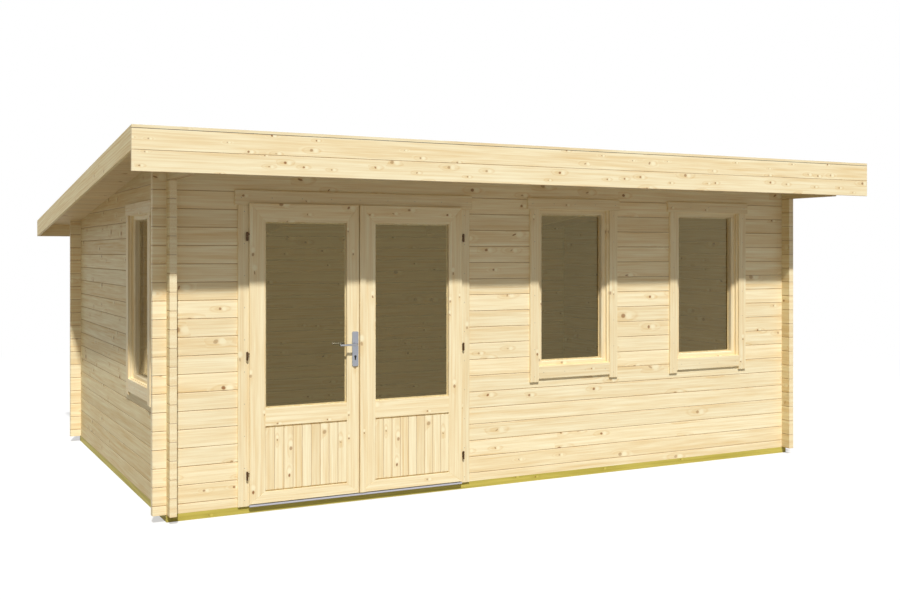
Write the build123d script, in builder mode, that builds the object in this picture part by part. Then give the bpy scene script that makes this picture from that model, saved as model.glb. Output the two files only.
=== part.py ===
from build123d import *

import os
from math import ceil, floor

# Log summerhouse with a pent roof, a half-glazed double door and three windows.
# All sizes are in millimetres. X runs along the front from left to right, the front faces -Y,
# and Z is up from the ground. The origin is on the ground at the middle of the roof's outline.

# Logs
LOG_HEIGHT = 114
LOG_THICKNESS = 44
LOG_PROJECTION = 85
GROOVE_DEPTH = 4
GROOVE_HALF_WIDTH = 4
SMALLEST_TOP_LOG = 30

# Walls, over their outer faces
WALL_WIDTH = 5106
WALL_DEPTH = 3300

# Foundation and floor
FOUNDATION_HEIGHT = 47
FOUNDATION_WIDTH = 70
JOIST_WIDTH = 47
JOIST_COUNT = 9
FLOOR_THICKNESS = 19
FLOOR_EDGE_GAP = 3
BOARD_COVER = 114
BOARD_GROOVE = 3
NARROWEST_BOARD_SHARE = 0.3

# Roof
ROOF_HEIGHT = 2368
ROOF_FALL = 0.102
FRONT_OVERHANG = 560
BACK_OVERHANG = 300
SIDE_OVERHANG = 320
EDGE_STRIP_HEIGHT = 17
EDGE_STRIP_WIDTH = 45
FELT_THICKNESS = 3
ROOF_BOARD_THICKNESS = 19
FASCIA_THICKNESS = 19
FASCIA_BOARD_HEIGHT = 120
RAFTER_WIDTH = 44
RAFTER_DEPTH = 95
RAFTER_COUNT = 5

# Casings round the door and the windows
CASING_THICKNESS = 16
CASING_CHAMFER = 2
HEAD_CASING_OVERHANG = 20
HEAD_CASING_DROP = 219
INNER_CASING_WIDTH = 60

# Door frame
DOOR_CENTRE = 1277
DOOR_CASING_WIDTH = 82
DOOR_HEAD_CASING_HEIGHT = 96
JAMB_THICKNESS = 44
DOOR_STOP_WIDTH = 15
THRESHOLD_HEIGHT = 9
THRESHOLD_NOSE_DROP = 3
THRESHOLD_NOSE_REACH = 16

# Door leaves: each has a lip on three sides that laps over the casing
LEAF_PAIR_WIDTH = 1524
LEAF_THICKNESS = 40
LIP_THICKNESS = 13
LIP_WIDTH = 18
MOVING_GAP = 5
MEETING_GAP = 6
MEETING_OFFSET = -12
HINGE_STILE_WIDTH = 104
LEFT_MEETING_STILE = 86
RIGHT_MEETING_STILE = 114
TOP_RAIL_HEIGHT = 118
BOTTOM_RAIL_HEIGHT = 72
PANEL_TOP = 549
PANE_BOTTOM = 664
LEAF_CHAMFER = 1.5
PANEL_RECESS = 3
PANEL_THICKNESS = 18
PANEL_BOARDS = 9
PANEL_END_GROOVE_HEIGHT = 10
PANEL_END_GROOVE_DEPTH = 12
PANE_RECESS = 16
PANE_THICKNESS = 4
COVER_STRIP_WIDTH = 42
COVER_STRIP_THICKNESS = 9

# Hinges
HINGE_FROM_TOP = 212
HINGE_FROM_BOTTOM = 181
HINGE_LENGTH = 57
HINGE_DIAMETER = 14
HINGE_SIDE_OFFSET = 14
HINGE_FACE_OFFSET = 5
HINGE_PIN_DIAMETER = 7
HINGE_PIN_CLEARANCE = 0.3
HINGE_ARM_DIAMETER = 8
HINGE_KNUCKLE_GAP = 1
HINGE_END_ROUNDING = 5
HINGE_PIN_SHARE = 0.75

# Door handle
HANDLE_EDGE_DISTANCE = 29
HANDLE_HEIGHT = 1050
HANDLE_PLATE_WIDTH = 43
HANDLE_PLATE_BELOW = 146
HANDLE_PLATE_ABOVE = 84
HANDLE_PLATE_THICKNESS = 8
HANDLE_PLATE_RADIUS = 10
KEYHOLE_DROP = 90
KEYHOLE_DIAMETER = 17
KEYHOLE_LENGTH = 33
KEYHOLE_SLOT_WIDTH = 10
KEYHOLE_DEPTH = 4
LEVER_DIAMETER = 13
LEVER_REACH = 45
LEVER_LENGTH = 126
LEVER_BEND = 14
LEVER_END_ROUNDING = 4
SPINDLE_CLEARANCE = 0.3

# Windows
RIGHT_WINDOW_DISTANCE = 836
LEFT_WINDOW_CENTRE = 787
WINDOW_WIDTH = 628
WINDOW_HEIGHT = 1144
WINDOW_CASING_WIDTH = 72
WINDOW_HEAD_CASING_HEIGHT = 80
WINDOW_CASING_BELOW = 113
APRON_HEIGHT = 90
LINING_THICKNESS = 20
LINING_SIDE_REVEAL = 16
LINING_END_REVEAL = 5
SASH_SETBACK = 20
SASH_THICKNESS = 44
SASH_STILE_WIDTH = 32
SASH_TOP_RAIL = 30
SASH_BOTTOM_RAIL = 29
SASH_CHAMFER = 6
SASH_PANE_DEPTH = 34

# Places worked out from the sizes above
LEFT = -WALL_WIDTH / 2
RIGHT = WALL_WIDTH / 2
FRONT = (FRONT_OVERHANG - WALL_DEPTH - BACK_OVERHANG) / 2
BACK = FRONT + WALL_DEPTH
ROOF_FRONT = FRONT - FRONT_OVERHANG
ROOF_BACK = BACK + BACK_OVERHANG
ROOF_LEFT = LEFT - SIDE_OVERHANG
ROOF_RIGHT = RIGHT + SIDE_OVERHANG
ROOF_WIDTH = ROOF_RIGHT - ROOF_LEFT
FELT_TOP = EDGE_STRIP_HEIGHT
BOARD_TOP = FELT_TOP + FELT_THICKNESS
BOARD_UNDERSIDE = BOARD_TOP + ROOF_BOARD_THICKNESS
SIDE_FASCIA_BOTTOM = BOARD_TOP + FASCIA_BOARD_HEIGHT
FRONT_FASCIA_BOTTOM = BOARD_TOP + 2 * FASCIA_BOARD_HEIGHT
FASCIA_FRONT_INSIDE = ROOF_FRONT + FASCIA_THICKNESS
FASCIA_BACK_INSIDE = ROOF_BACK - FASCIA_THICKNESS
CUT = 2

os.makedirs("parts", exist_ok=True)


def roof_level(y, below=0):
    """The height of the sloping roof at y, or of a layer that lies that far below its top."""
    return ROOF_HEIGHT - ROOF_FALL * (y - ROOF_FRONT) - below


def outline(plane, *points):
    """A closed shape with straight sides on a plane."""
    with BuildSketch(plane) as shape:
        with BuildLine():
            Polyline(*points, close=True)
        make_face()
    return shape.sketch


def block(x, y, z, mode=Mode.ADD):
    """A straight board or cut-out between pairs of places along X, Y and Z."""
    centre = [(low + high) / 2 for low, high in (x, y, z)]
    size = [high - low for low, high in (x, y, z)]
    with Locations(tuple(centre)):
        Box(*size, mode=mode)


def save(builder, name):
    """Label a finished piece and write its STEP file."""
    builder.part.label = name
    export_step(builder.part, f"parts/{name}.step")


def across_slope(y_from, y_to, top, bottom):
    """The corners of a layer of the roof, seen along X."""
    return [
        (y_from, roof_level(y_from, top)),
        (y_to, roof_level(y_to, top)),
        (y_to, roof_level(y_to, bottom)),
        (y_from, roof_level(y_from, bottom)),
    ]


# Foundation and floor
with BuildPart() as foundation_front_back_beams:
    for y in (FRONT, BACK - FOUNDATION_WIDTH):
        block((LEFT, RIGHT), (y, y + FOUNDATION_WIDTH), (0, FOUNDATION_HEIGHT))
save(foundation_front_back_beams, "foundation_front_back_beams")

with BuildPart() as foundation_side_beams:
    for x in (LEFT, RIGHT - FOUNDATION_WIDTH):
        block(
            (x, x + FOUNDATION_WIDTH),
            (FRONT + FOUNDATION_WIDTH, BACK - FOUNDATION_WIDTH),
            (0, FOUNDATION_HEIGHT),
        )
save(foundation_side_beams, "foundation_side_beams")

with BuildPart() as floor_joists:
    joist_pitch = WALL_WIDTH / (JOIST_COUNT + 1)
    for index in range(JOIST_COUNT):
        x = LEFT + (index + 1) * joist_pitch - JOIST_WIDTH / 2
        block(
            (x, x + JOIST_WIDTH),
            (FRONT + FOUNDATION_WIDTH, BACK - FOUNDATION_WIDTH),
            (0, FOUNDATION_HEIGHT),
        )
save(floor_joists, "floor_joists")


def board_joints(start, end, pitch):
    """The places of the joints between boards from start to end, with no thin strip at the end."""
    count = ceil((end - start) / pitch - NARROWEST_BOARD_SHARE)
    return [start + pitch * number for number in range(1, count)]


def vee(place, half_width, surface, depth):
    """The three points of a V groove across a surface, where surface gives its level at a place."""
    return [
        (place - half_width, surface(place - half_width)),
        (place, surface(place) + depth),
        (place + half_width, surface(place + half_width)),
    ]


FLOOR_INSET = LOG_THICKNESS + FLOOR_EDGE_GAP
FLOOR_TOP = FOUNDATION_HEIGHT + FLOOR_THICKNESS
with BuildPart() as floor_boards:
    floor_front = FRONT + FLOOR_INSET
    floor_back = BACK - FLOOR_INSET
    surface_points = []
    for joint in board_joints(floor_front, floor_back, BOARD_COVER):
        surface_points += vee(joint, BOARD_GROOVE, lambda y: FLOOR_TOP, -BOARD_GROOVE)
    extrude(
        outline(
            Plane.YZ.offset(LEFT + FLOOR_INSET),
            (floor_front, FOUNDATION_HEIGHT),
            (floor_front, FLOOR_TOP),
            *surface_points,
            (floor_back, FLOOR_TOP),
            (floor_back, FOUNDATION_HEIGHT),
        ),
        amount=WALL_WIDTH - 2 * FLOOR_INSET,
    )
save(floor_boards, "floor_boards")


# Heads of the door and the front windows, measured down from the top of the front wall
HEAD_CASING_TOP = roof_level(FRONT, BOARD_UNDERSIDE) - HEAD_CASING_DROP
FRAME_HEAD = HEAD_CASING_TOP - DOOR_HEAD_CASING_HEIGHT
LEAF_TOP = FRAME_HEAD - MOVING_GAP + LIP_WIDTH
WINDOW_TOP = HEAD_CASING_TOP - WINDOW_HEAD_CASING_HEIGHT
WINDOW_BOTTOM = WINDOW_TOP - WINDOW_HEIGHT
WINDOW_CASING_BOTTOM = WINDOW_BOTTOM - WINDOW_CASING_BELOW

# Door places, from the left wall's outer face and out from the front wall's outer face
DOOR_X = LEFT + DOOR_CENTRE
CASING_FACE = FRONT - CASING_THICKNESS
LEAF_FACE = CASING_FACE - MOVING_GAP - LIP_THICKNESS
LEAF_BACK = LEAF_FACE + LEAF_THICKNESS
LEAF_BOTTOM = FOUNDATION_HEIGHT + THRESHOLD_HEIGHT + MOVING_GAP
FRAME_CLEAR = LEAF_PAIR_WIDTH / 2 - LIP_WIDTH + MOVING_GAP
FRAME_OUTER = FRAME_CLEAR + JAMB_THICKNESS
DOOR_CASING_SPAN = 2 * (FRAME_CLEAR + DOOR_CASING_WIDTH)
DOOR_OPENING_TOP = FRAME_HEAD + JAMB_THICKNESS

# Front windows, from the left: the first stands midway between the door and the second
SECOND_WINDOW_CENTRE = WALL_WIDTH - RIGHT_WINDOW_DISTANCE
FIRST_WINDOW_FROM = DOOR_CENTRE + DOOR_CASING_SPAN / 2
FIRST_WINDOW_TO = SECOND_WINDOW_CENTRE - WINDOW_WIDTH / 2 - WINDOW_CASING_WIDTH
WINDOW_CENTRES = ((FIRST_WINDOW_FROM + FIRST_WINDOW_TO) / 2, SECOND_WINDOW_CENTRE)
INNER_FACE = FRONT + LOG_THICKNESS + CASING_THICKNESS

# Windows, out from the middle of each: the gap between the casings, then the lining that stands
# inside them, the hole in the wall round the lining, and the pane
HALF_WINDOW = WINDOW_WIDTH / 2
HALF_LINING = HALF_WINDOW - LINING_SIDE_REVEAL
HALF_OPENING = HALF_LINING + LINING_THICKNESS
HALF_PANE = HALF_LINING - SASH_STILE_WIDTH
OPENING_MARGIN = LINING_THICKNESS - LINING_END_REVEAL


def course_joints(first, top):
    """The heights of the joints between the courses of a wall."""
    joints = []
    height = first
    while height < top - SMALLEST_TOP_LOG:
        joints.append(height)
        height += LOG_HEIGHT
    return joints


def log_section(plane, outer, inner, first_joint, bottom, top_outer, top_inner):
    """The section of a wall of logs, with a V at each joint on both faces."""
    inward = GROOVE_DEPTH if inner > outer else -GROOVE_DEPTH
    outer_side = [(outer, bottom)]
    inner_side = [(inner, bottom)]
    for joint in course_joints(first_joint, min(top_outer, top_inner)):
        if joint - GROOVE_HALF_WIDTH <= bottom:
            continue
        for side, face, depth in ((outer_side, outer, inward), (inner_side, inner, -inward)):
            side.append((face, joint - GROOVE_HALF_WIDTH))
            side.append((face + depth, joint))
            side.append((face, joint + GROOVE_HALF_WIDTH))
    outer_side.append((outer, top_outer))
    inner_side.append((inner, top_inner))
    return outline(plane, *outer_side, *reversed(inner_side))


def corner_notches(x, y, x_size, y_size, first_layer):
    """Cut away the half-height layers where the logs of the other wall cross this one."""
    count = ceil(ROOF_HEIGHT / LOG_HEIGHT)
    layers = [(x, y, first_layer + LOG_HEIGHT * number) for number in range(count)]
    with Locations(*layers):
        Box(x_size, y_size, LOG_HEIGHT / 2, mode=Mode.SUBTRACT)


HALF_LOG_JOINT = FOUNDATION_HEIGHT + LOG_HEIGHT / 2
FULL_LOG_JOINT = FOUNDATION_HEIGHT + LOG_HEIGHT
THROUGH_WALL = LOG_THICKNESS + 2 * CUT
LEFT_CORNER_X = LEFT + LOG_THICKNESS / 2
RIGHT_CORNER_X = RIGHT - LOG_THICKNESS / 2
FRONT_CORNER_Y = FRONT + LOG_THICKNESS / 2
BACK_CORNER_Y = BACK - LOG_THICKNESS / 2
RAFTER_PITCH = WALL_WIDTH / (RAFTER_COUNT + 1)
RAFTER_PLACES = [LEFT + RAFTER_PITCH * (number + 1) for number in range(RAFTER_COUNT)]
RAFTER_BOTTOM = BOARD_UNDERSIDE + RAFTER_DEPTH


def rafters_in(mode, overlong=0):
    """All the rafters, as solids or as the slots that they rest in."""
    corners = across_slope(
        FASCIA_FRONT_INSIDE, FASCIA_BACK_INSIDE, BOARD_UNDERSIDE - overlong, RAFTER_BOTTOM
    )
    for x in RAFTER_PLACES:
        section = outline(Plane.YZ.offset(x - RAFTER_WIDTH / 2), *corners)
        extrude(section, amount=RAFTER_WIDTH, mode=mode)


def front_courses(x_from, x_to, bottom):
    """A stretch of the front wall, which starts with half a log."""
    section = log_section(
        Plane.YZ.offset(x_from),
        FRONT,
        FRONT + LOG_THICKNESS,
        HALF_LOG_JOINT,
        bottom,
        roof_level(FRONT, BOARD_UNDERSIDE),
        roof_level(FRONT + LOG_THICKNESS, BOARD_UNDERSIDE),
    )
    extrude(section, amount=x_to - x_from)
    rafters_in(Mode.SUBTRACT, CUT)


def window_opening_in_front(x):
    """The hole in the front wall for one window and its lining."""
    block(
        (x - HALF_OPENING, x + HALF_OPENING),
        (FRONT - CUT, FRONT + LOG_THICKNESS + CUT),
        (WINDOW_BOTTOM - OPENING_MARGIN, WINDOW_TOP + OPENING_MARGIN),
        Mode.SUBTRACT,
    )


# Front wall, in three stretches: left of the door, over it, and right of it with two windows
with BuildPart() as front_wall_left:
    front_courses(LEFT - LOG_PROJECTION, DOOR_X - FRAME_OUTER, FOUNDATION_HEIGHT)
    corner_notches(LEFT_CORNER_X, FRONT_CORNER_Y, LOG_THICKNESS, THROUGH_WALL, HALF_LOG_JOINT)
save(front_wall_left, "front_wall_left")

with BuildPart() as front_wall_over_door:
    front_courses(DOOR_X - FRAME_OUTER, DOOR_X + FRAME_OUTER, DOOR_OPENING_TOP)
save(front_wall_over_door, "front_wall_over_door")

with BuildPart() as front_wall_right:
    front_courses(DOOR_X + FRAME_OUTER, RIGHT + LOG_PROJECTION, FOUNDATION_HEIGHT)
    corner_notches(RIGHT_CORNER_X, FRONT_CORNER_Y, LOG_THICKNESS, THROUGH_WALL, HALF_LOG_JOINT)
    for centre in WINDOW_CENTRES:
        window_opening_in_front(LEFT + centre)
save(front_wall_right, "front_wall_right")

with BuildPart() as back_wall:
    extrude(
        log_section(
            Plane.YZ.offset(LEFT - LOG_PROJECTION),
            BACK,
            BACK - LOG_THICKNESS,
            HALF_LOG_JOINT,
            FOUNDATION_HEIGHT,
            roof_level(BACK, BOARD_UNDERSIDE),
            roof_level(BACK - LOG_THICKNESS, BOARD_UNDERSIDE),
        ),
        amount=WALL_WIDTH + 2 * LOG_PROJECTION,
    )
    rafters_in(Mode.SUBTRACT, CUT)
    for x in (LEFT_CORNER_X, RIGHT_CORNER_X):
        corner_notches(x, BACK_CORNER_Y, LOG_THICKNESS, THROUGH_WALL, HALF_LOG_JOINT)
save(back_wall, "back_wall")


def side_wall_elevation(x):
    """A side wall seen along X: its top logs run on to the fascias and carry the overhangs."""
    front_course = floor(
        (roof_level(ROOF_FRONT, FRONT_FASCIA_BOTTOM) - FOUNDATION_HEIGHT) / LOG_HEIGHT
    )
    back_course = ceil(
        (roof_level(ROOF_BACK, SIDE_FASCIA_BOTTOM) - FOUNDATION_HEIGHT) / LOG_HEIGHT
    )
    front_underside = FOUNDATION_HEIGHT + front_course * LOG_HEIGHT
    back_underside = FOUNDATION_HEIGHT + back_course * LOG_HEIGHT
    return outline(
        Plane.YZ.offset(x),
        (FRONT - LOG_PROJECTION, FOUNDATION_HEIGHT),
        (BACK + LOG_PROJECTION, FOUNDATION_HEIGHT),
        (BACK + LOG_PROJECTION, back_underside),
        (FASCIA_BACK_INSIDE, back_underside),
        (FASCIA_BACK_INSIDE, roof_level(FASCIA_BACK_INSIDE, BOARD_UNDERSIDE)),
        (FASCIA_FRONT_INSIDE, roof_level(FASCIA_FRONT_INSIDE, BOARD_UNDERSIDE)),
        (FASCIA_FRONT_INSIDE, front_underside),
        (FRONT - LOG_PROJECTION, front_underside),
    )


def side_courses(outer, inner):
    """A side wall, which starts with a full log and crosses the front and back walls."""
    section = log_section(
        Plane.XZ.offset(-FASCIA_BACK_INSIDE),
        outer,
        inner,
        FULL_LOG_JOINT,
        FOUNDATION_HEIGHT,
        ROOF_HEIGHT,
        ROOF_HEIGHT,
    )
    extrude(section, amount=FASCIA_BACK_INSIDE - FASCIA_FRONT_INSIDE)
    extrude(
        side_wall_elevation(min(outer, inner)), amount=LOG_THICKNESS, mode=Mode.INTERSECT
    )
    for y in (FRONT_CORNER_Y, BACK_CORNER_Y):
        corner_notches(
            (outer + inner) / 2, y, THROUGH_WALL, LOG_THICKNESS, FOUNDATION_HEIGHT
        )


SIDE_WINDOW_DROP = LOG_HEIGHT / 2
LEFT_WINDOW_Y = FRONT + LEFT_WINDOW_CENTRE
with BuildPart() as left_wall:
    side_courses(LEFT, LEFT + LOG_THICKNESS)
    block(
        (LEFT - CUT, LEFT + LOG_THICKNESS + CUT),
        (LEFT_WINDOW_Y - HALF_OPENING, LEFT_WINDOW_Y + HALF_OPENING),
        (
            WINDOW_BOTTOM - SIDE_WINDOW_DROP - OPENING_MARGIN,
            WINDOW_TOP - SIDE_WINDOW_DROP + OPENING_MARGIN,
        ),
        Mode.SUBTRACT,
    )
save(left_wall, "left_wall")

with BuildPart() as right_wall:
    side_courses(RIGHT, RIGHT - LOG_THICKNESS)
save(right_wall, "right_wall")

# Roof
with BuildPart() as rafters:
    rafters_in(Mode.ADD)
save(rafters, "rafters")

with BuildPart() as roof_boards:
    underside_points = []
    for joint in board_joints(FASCIA_FRONT_INSIDE, FASCIA_BACK_INSIDE, BOARD_COVER):
        underside_points += vee(
            joint, BOARD_GROOVE, lambda y: roof_level(y, BOARD_UNDERSIDE), BOARD_GROOVE
        )
    extrude(
        outline(
            Plane.YZ.offset(ROOF_LEFT + FASCIA_THICKNESS),
            (FASCIA_FRONT_INSIDE, roof_level(FASCIA_FRONT_INSIDE, BOARD_TOP)),
            (FASCIA_FRONT_INSIDE, roof_level(FASCIA_FRONT_INSIDE, BOARD_UNDERSIDE)),
            *underside_points,
            (FASCIA_BACK_INSIDE, roof_level(FASCIA_BACK_INSIDE, BOARD_UNDERSIDE)),
            (FASCIA_BACK_INSIDE, roof_level(FASCIA_BACK_INSIDE, BOARD_TOP)),
        ),
        amount=ROOF_WIDTH - 2 * FASCIA_THICKNESS,
    )
save(roof_boards, "roof_boards")


def make_room_for_side_fascias():
    """Cut a layer of the roof back to the inner faces of the side fascias, which cover its ends."""
    for x in (ROOF_LEFT, ROOF_RIGHT - FASCIA_THICKNESS):
        block(
            (x, x + FASCIA_THICKNESS),
            (FASCIA_FRONT_INSIDE, FASCIA_BACK_INSIDE),
            (0, ROOF_HEIGHT + CUT),
            Mode.SUBTRACT,
        )


with BuildPart() as roof_felt:
    extrude(
        outline(
            Plane.YZ.offset(ROOF_LEFT), *across_slope(ROOF_FRONT, ROOF_BACK, FELT_TOP, BOARD_TOP)
        ),
        amount=ROOF_WIDTH,
    )
    make_room_for_side_fascias()
save(roof_felt, "roof_felt")

with BuildPart() as front_fascia:
    extrude(
        outline(
            Plane.YZ.offset(ROOF_LEFT),
            *across_slope(ROOF_FRONT, FASCIA_FRONT_INSIDE, BOARD_TOP, BOARD_TOP + FASCIA_BOARD_HEIGHT),
        ),
        amount=ROOF_WIDTH,
    )
    extrude(
        outline(
            Plane.YZ.offset(ROOF_LEFT),
            (ROOF_FRONT, roof_level(ROOF_FRONT, BOARD_TOP + FASCIA_BOARD_HEIGHT)),
            (FASCIA_FRONT_INSIDE, roof_level(FASCIA_FRONT_INSIDE, BOARD_TOP + FASCIA_BOARD_HEIGHT)),
            (FASCIA_FRONT_INSIDE, roof_level(ROOF_FRONT, FRONT_FASCIA_BOTTOM)),
            (ROOF_FRONT, roof_level(ROOF_FRONT, FRONT_FASCIA_BOTTOM)),
        ),
        amount=ROOF_WIDTH,
    )
    groove_height = roof_level(ROOF_FRONT, BOARD_TOP + FASCIA_BOARD_HEIGHT)
    extrude(
        outline(
            Plane.YZ.offset(ROOF_LEFT),
            (ROOF_FRONT, groove_height - BOARD_GROOVE),
            (ROOF_FRONT + BOARD_GROOVE, groove_height),
            (ROOF_FRONT, groove_height + BOARD_GROOVE),
        ),
        amount=ROOF_WIDTH,
        mode=Mode.SUBTRACT,
    )
save(front_fascia, "front_fascia")

with BuildPart() as back_fascia:
    extrude(
        outline(
            Plane.YZ.offset(ROOF_LEFT),
            *across_slope(FASCIA_BACK_INSIDE, ROOF_BACK, BOARD_TOP, SIDE_FASCIA_BOTTOM),
        ),
        amount=ROOF_WIDTH,
    )
save(back_fascia, "back_fascia")

with BuildPart() as side_fascias:
    for x in (ROOF_LEFT, ROOF_RIGHT - FASCIA_THICKNESS):
        extrude(
            outline(
                Plane.YZ.offset(x),
                *across_slope(FASCIA_FRONT_INSIDE, FASCIA_BACK_INSIDE, 0, SIDE_FASCIA_BOTTOM),
            ),
            amount=FASCIA_THICKNESS,
        )
save(side_fascias, "side_fascias")

with BuildPart() as roof_edge_strips:
    extrude(
        outline(Plane.YZ.offset(ROOF_LEFT), *across_slope(ROOF_FRONT, ROOF_BACK, 0, FELT_TOP)),
        amount=ROOF_WIDTH,
    )
    block(
        (ROOF_LEFT + EDGE_STRIP_WIDTH, ROOF_RIGHT - EDGE_STRIP_WIDTH),
        (ROOF_FRONT + EDGE_STRIP_WIDTH, ROOF_BACK - EDGE_STRIP_WIDTH),
        (0, ROOF_HEIGHT + CUT),
        Mode.SUBTRACT,
    )
    make_room_for_side_fascias()
save(roof_edge_strips, "roof_edge_strips")


# Door frame, casings and threshold
def front_plane(y):
    """The upright plane at y, whose sketches extrude outwards from the front."""
    return Plane.XZ.offset(-y)


def door_surround(half_outer, top, half_inner, inner_top, y_back, y_front):
    """Two posts and a head round the door, seen from the front, as one piece."""
    extrude(
        outline(
            front_plane(y_back),
            (DOOR_X - half_outer, FOUNDATION_HEIGHT),
            (DOOR_X - half_outer, top),
            (DOOR_X + half_outer, top),
            (DOOR_X + half_outer, FOUNDATION_HEIGHT),
            (DOOR_X + half_inner, FOUNDATION_HEIGHT),
            (DOOR_X + half_inner, inner_top),
            (DOOR_X - half_inner, inner_top),
            (DOOR_X - half_inner, FOUNDATION_HEIGHT),
        ),
        amount=y_back - y_front,
    )


STOP_FACE = LEAF_BACK + MOVING_GAP
with BuildPart() as door_frame:
    door_surround(FRAME_OUTER, DOOR_OPENING_TOP, FRAME_CLEAR, FRAME_HEAD, STOP_FACE, FRONT)
    door_surround(
        FRAME_OUTER,
        DOOR_OPENING_TOP,
        FRAME_CLEAR - DOOR_STOP_WIDTH,
        FRAME_HEAD - DOOR_STOP_WIDTH,
        INNER_FACE,
        STOP_FACE,
    )
    block(
        (LEFT, RIGHT),
        (FRONT + LOG_THICKNESS, INNER_FACE + CUT),
        (0, FLOOR_TOP),
        Mode.SUBTRACT,
    )
save(door_frame, "door_frame")

with BuildPart() as door_inner_casing:
    door_surround(
        FRAME_OUTER + INNER_CASING_WIDTH,
        DOOR_OPENING_TOP + INNER_CASING_WIDTH,
        FRAME_OUTER,
        DOOR_OPENING_TOP,
        INNER_FACE,
        FRONT + LOG_THICKNESS,
    )
    block(
        (LEFT, RIGHT),
        (FRONT, INNER_FACE),
        (0, FLOOR_TOP),
        Mode.SUBTRACT,
    )
save(door_inner_casing, "door_inner_casing")


def front_casing(x, z):
    """One flat casing board on the front wall."""
    section = outline(front_plane(FRONT), (x[0], z[0]), (x[1], z[0]), (x[1], z[1]), (x[0], z[1]))
    extrude(section, amount=CASING_THICKNESS)


def casing_edges(builder):
    """The edges round the outer faces of all the casing boards in a piece on the front."""
    faces = [
        face
        for face in builder.faces().filter_by(Axis.Y)
        if abs(face.center().Y - CASING_FACE) < GROOVE_DEPTH
    ]
    return [edge for face in faces for edge in face.edges()]


with BuildPart() as door_side_casings:
    for side in (-1, 1):
        inner_edge = DOOR_X + side * FRAME_CLEAR
        outer_edge = DOOR_X + side * DOOR_CASING_SPAN / 2
        front_casing(sorted((inner_edge, outer_edge)), (FOUNDATION_HEIGHT, FRAME_HEAD))
    chamfer(casing_edges(door_side_casings), CASING_CHAMFER)
save(door_side_casings, "door_side_casings")

with BuildPart() as door_head_casing:
    half_head = DOOR_CASING_SPAN / 2 + HEAD_CASING_OVERHANG
    front_casing((DOOR_X - half_head, DOOR_X + half_head), (FRAME_HEAD, HEAD_CASING_TOP))
    chamfer(casing_edges(door_head_casing), CASING_CHAMFER)
save(door_head_casing, "door_head_casing")

with BuildPart() as door_threshold:
    threshold_top = FOUNDATION_HEIGHT + THRESHOLD_HEIGHT
    block(
        (DOOR_X - FRAME_CLEAR, DOOR_X + FRAME_CLEAR),
        (CASING_FACE, STOP_FACE),
        (FOUNDATION_HEIGHT, threshold_top),
    )
    block(
        (DOOR_X - FRAME_CLEAR + DOOR_STOP_WIDTH, DOOR_X + FRAME_CLEAR - DOOR_STOP_WIDTH),
        (STOP_FACE, FRONT + LOG_THICKNESS),
        (FOUNDATION_HEIGHT, threshold_top),
    )
    block(
        (DOOR_X - LEAF_PAIR_WIDTH / 2, DOOR_X + LEAF_PAIR_WIDTH / 2),
        (CASING_FACE - THRESHOLD_NOSE_REACH, CASING_FACE),
        (FOUNDATION_HEIGHT - THRESHOLD_NOSE_DROP, threshold_top),
    )
    nose = door_threshold.faces().sort_by(Axis.Y)[0]
    chamfer(nose.edges().filter_by(Axis.X), CASING_CHAMFER)
save(door_threshold, "door_threshold")


# Door leaves. An edge list for a leaf: its hinge edge, its meeting edge, and its pane's two edges
MEETING_X = DOOR_X + MEETING_OFFSET
LEFT_LEAF = {
    "hinge": DOOR_X - LEAF_PAIR_WIDTH / 2,
    "meeting": MEETING_X - MEETING_GAP / 2,
    "meeting_stile": LEFT_MEETING_STILE,
    "side": 1,
}
RIGHT_LEAF = {
    "hinge": DOOR_X + LEAF_PAIR_WIDTH / 2,
    "meeting": MEETING_X + MEETING_GAP / 2,
    "meeting_stile": RIGHT_MEETING_STILE,
    "side": -1,
}
BOTTOM_RAIL_TOP = LEAF_BOTTOM + BOTTOM_RAIL_HEIGHT
PANE_TOP = LEAF_TOP - TOP_RAIL_HEIGHT


def pane_edges(leaf):
    """The edge of the pane beside the hinge stile, and the one beside the meeting stile."""
    hinge_side = leaf["hinge"] + leaf["side"] * HINGE_STILE_WIDTH
    meeting_side = leaf["meeting"] - leaf["side"] * leaf["meeting_stile"]
    return hinge_side, meeting_side


def leaf_board(*corners):
    """One board of a leaf's frame, with the edges of its face softened."""
    section = outline(front_plane(LEAF_BACK), *corners)
    with BuildPart(mode=Mode.PRIVATE) as board:
        extrude(section, amount=LEAF_THICKNESS)
        chamfer(board.faces().sort_by(Axis.Y)[0].edges(), LEAF_CHAMFER)
    return board.part


def rebate(leaf):
    """Cut back the hinge side and the top behind the lip."""
    lip_back = LEAF_FACE + LIP_THICKNESS
    hinge = leaf["hinge"]
    block(
        sorted((hinge - leaf["side"] * CUT, hinge + leaf["side"] * LIP_WIDTH)),
        (lip_back, LEAF_BACK + CUT),
        (LEAF_BOTTOM - CUT, LEAF_TOP + CUT),
        Mode.SUBTRACT,
    )
    block(
        sorted((leaf["hinge"], leaf["meeting"])),
        (lip_back, LEAF_BACK + CUT),
        (LEAF_TOP - LIP_WIDTH, LEAF_TOP + CUT),
        Mode.SUBTRACT,
    )


def leaf_stiles(leaf):
    """Both upright boards of a leaf, mitred at the corners."""
    hinge_side, meeting_side = pane_edges(leaf)
    for outer, inner in ((leaf["hinge"], hinge_side), (leaf["meeting"], meeting_side)):
        add(
            leaf_board(
                (outer, LEAF_BOTTOM), (outer, LEAF_TOP), (inner, PANE_TOP), (inner, BOTTOM_RAIL_TOP)
            )
        )
    rebate(leaf)


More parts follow.
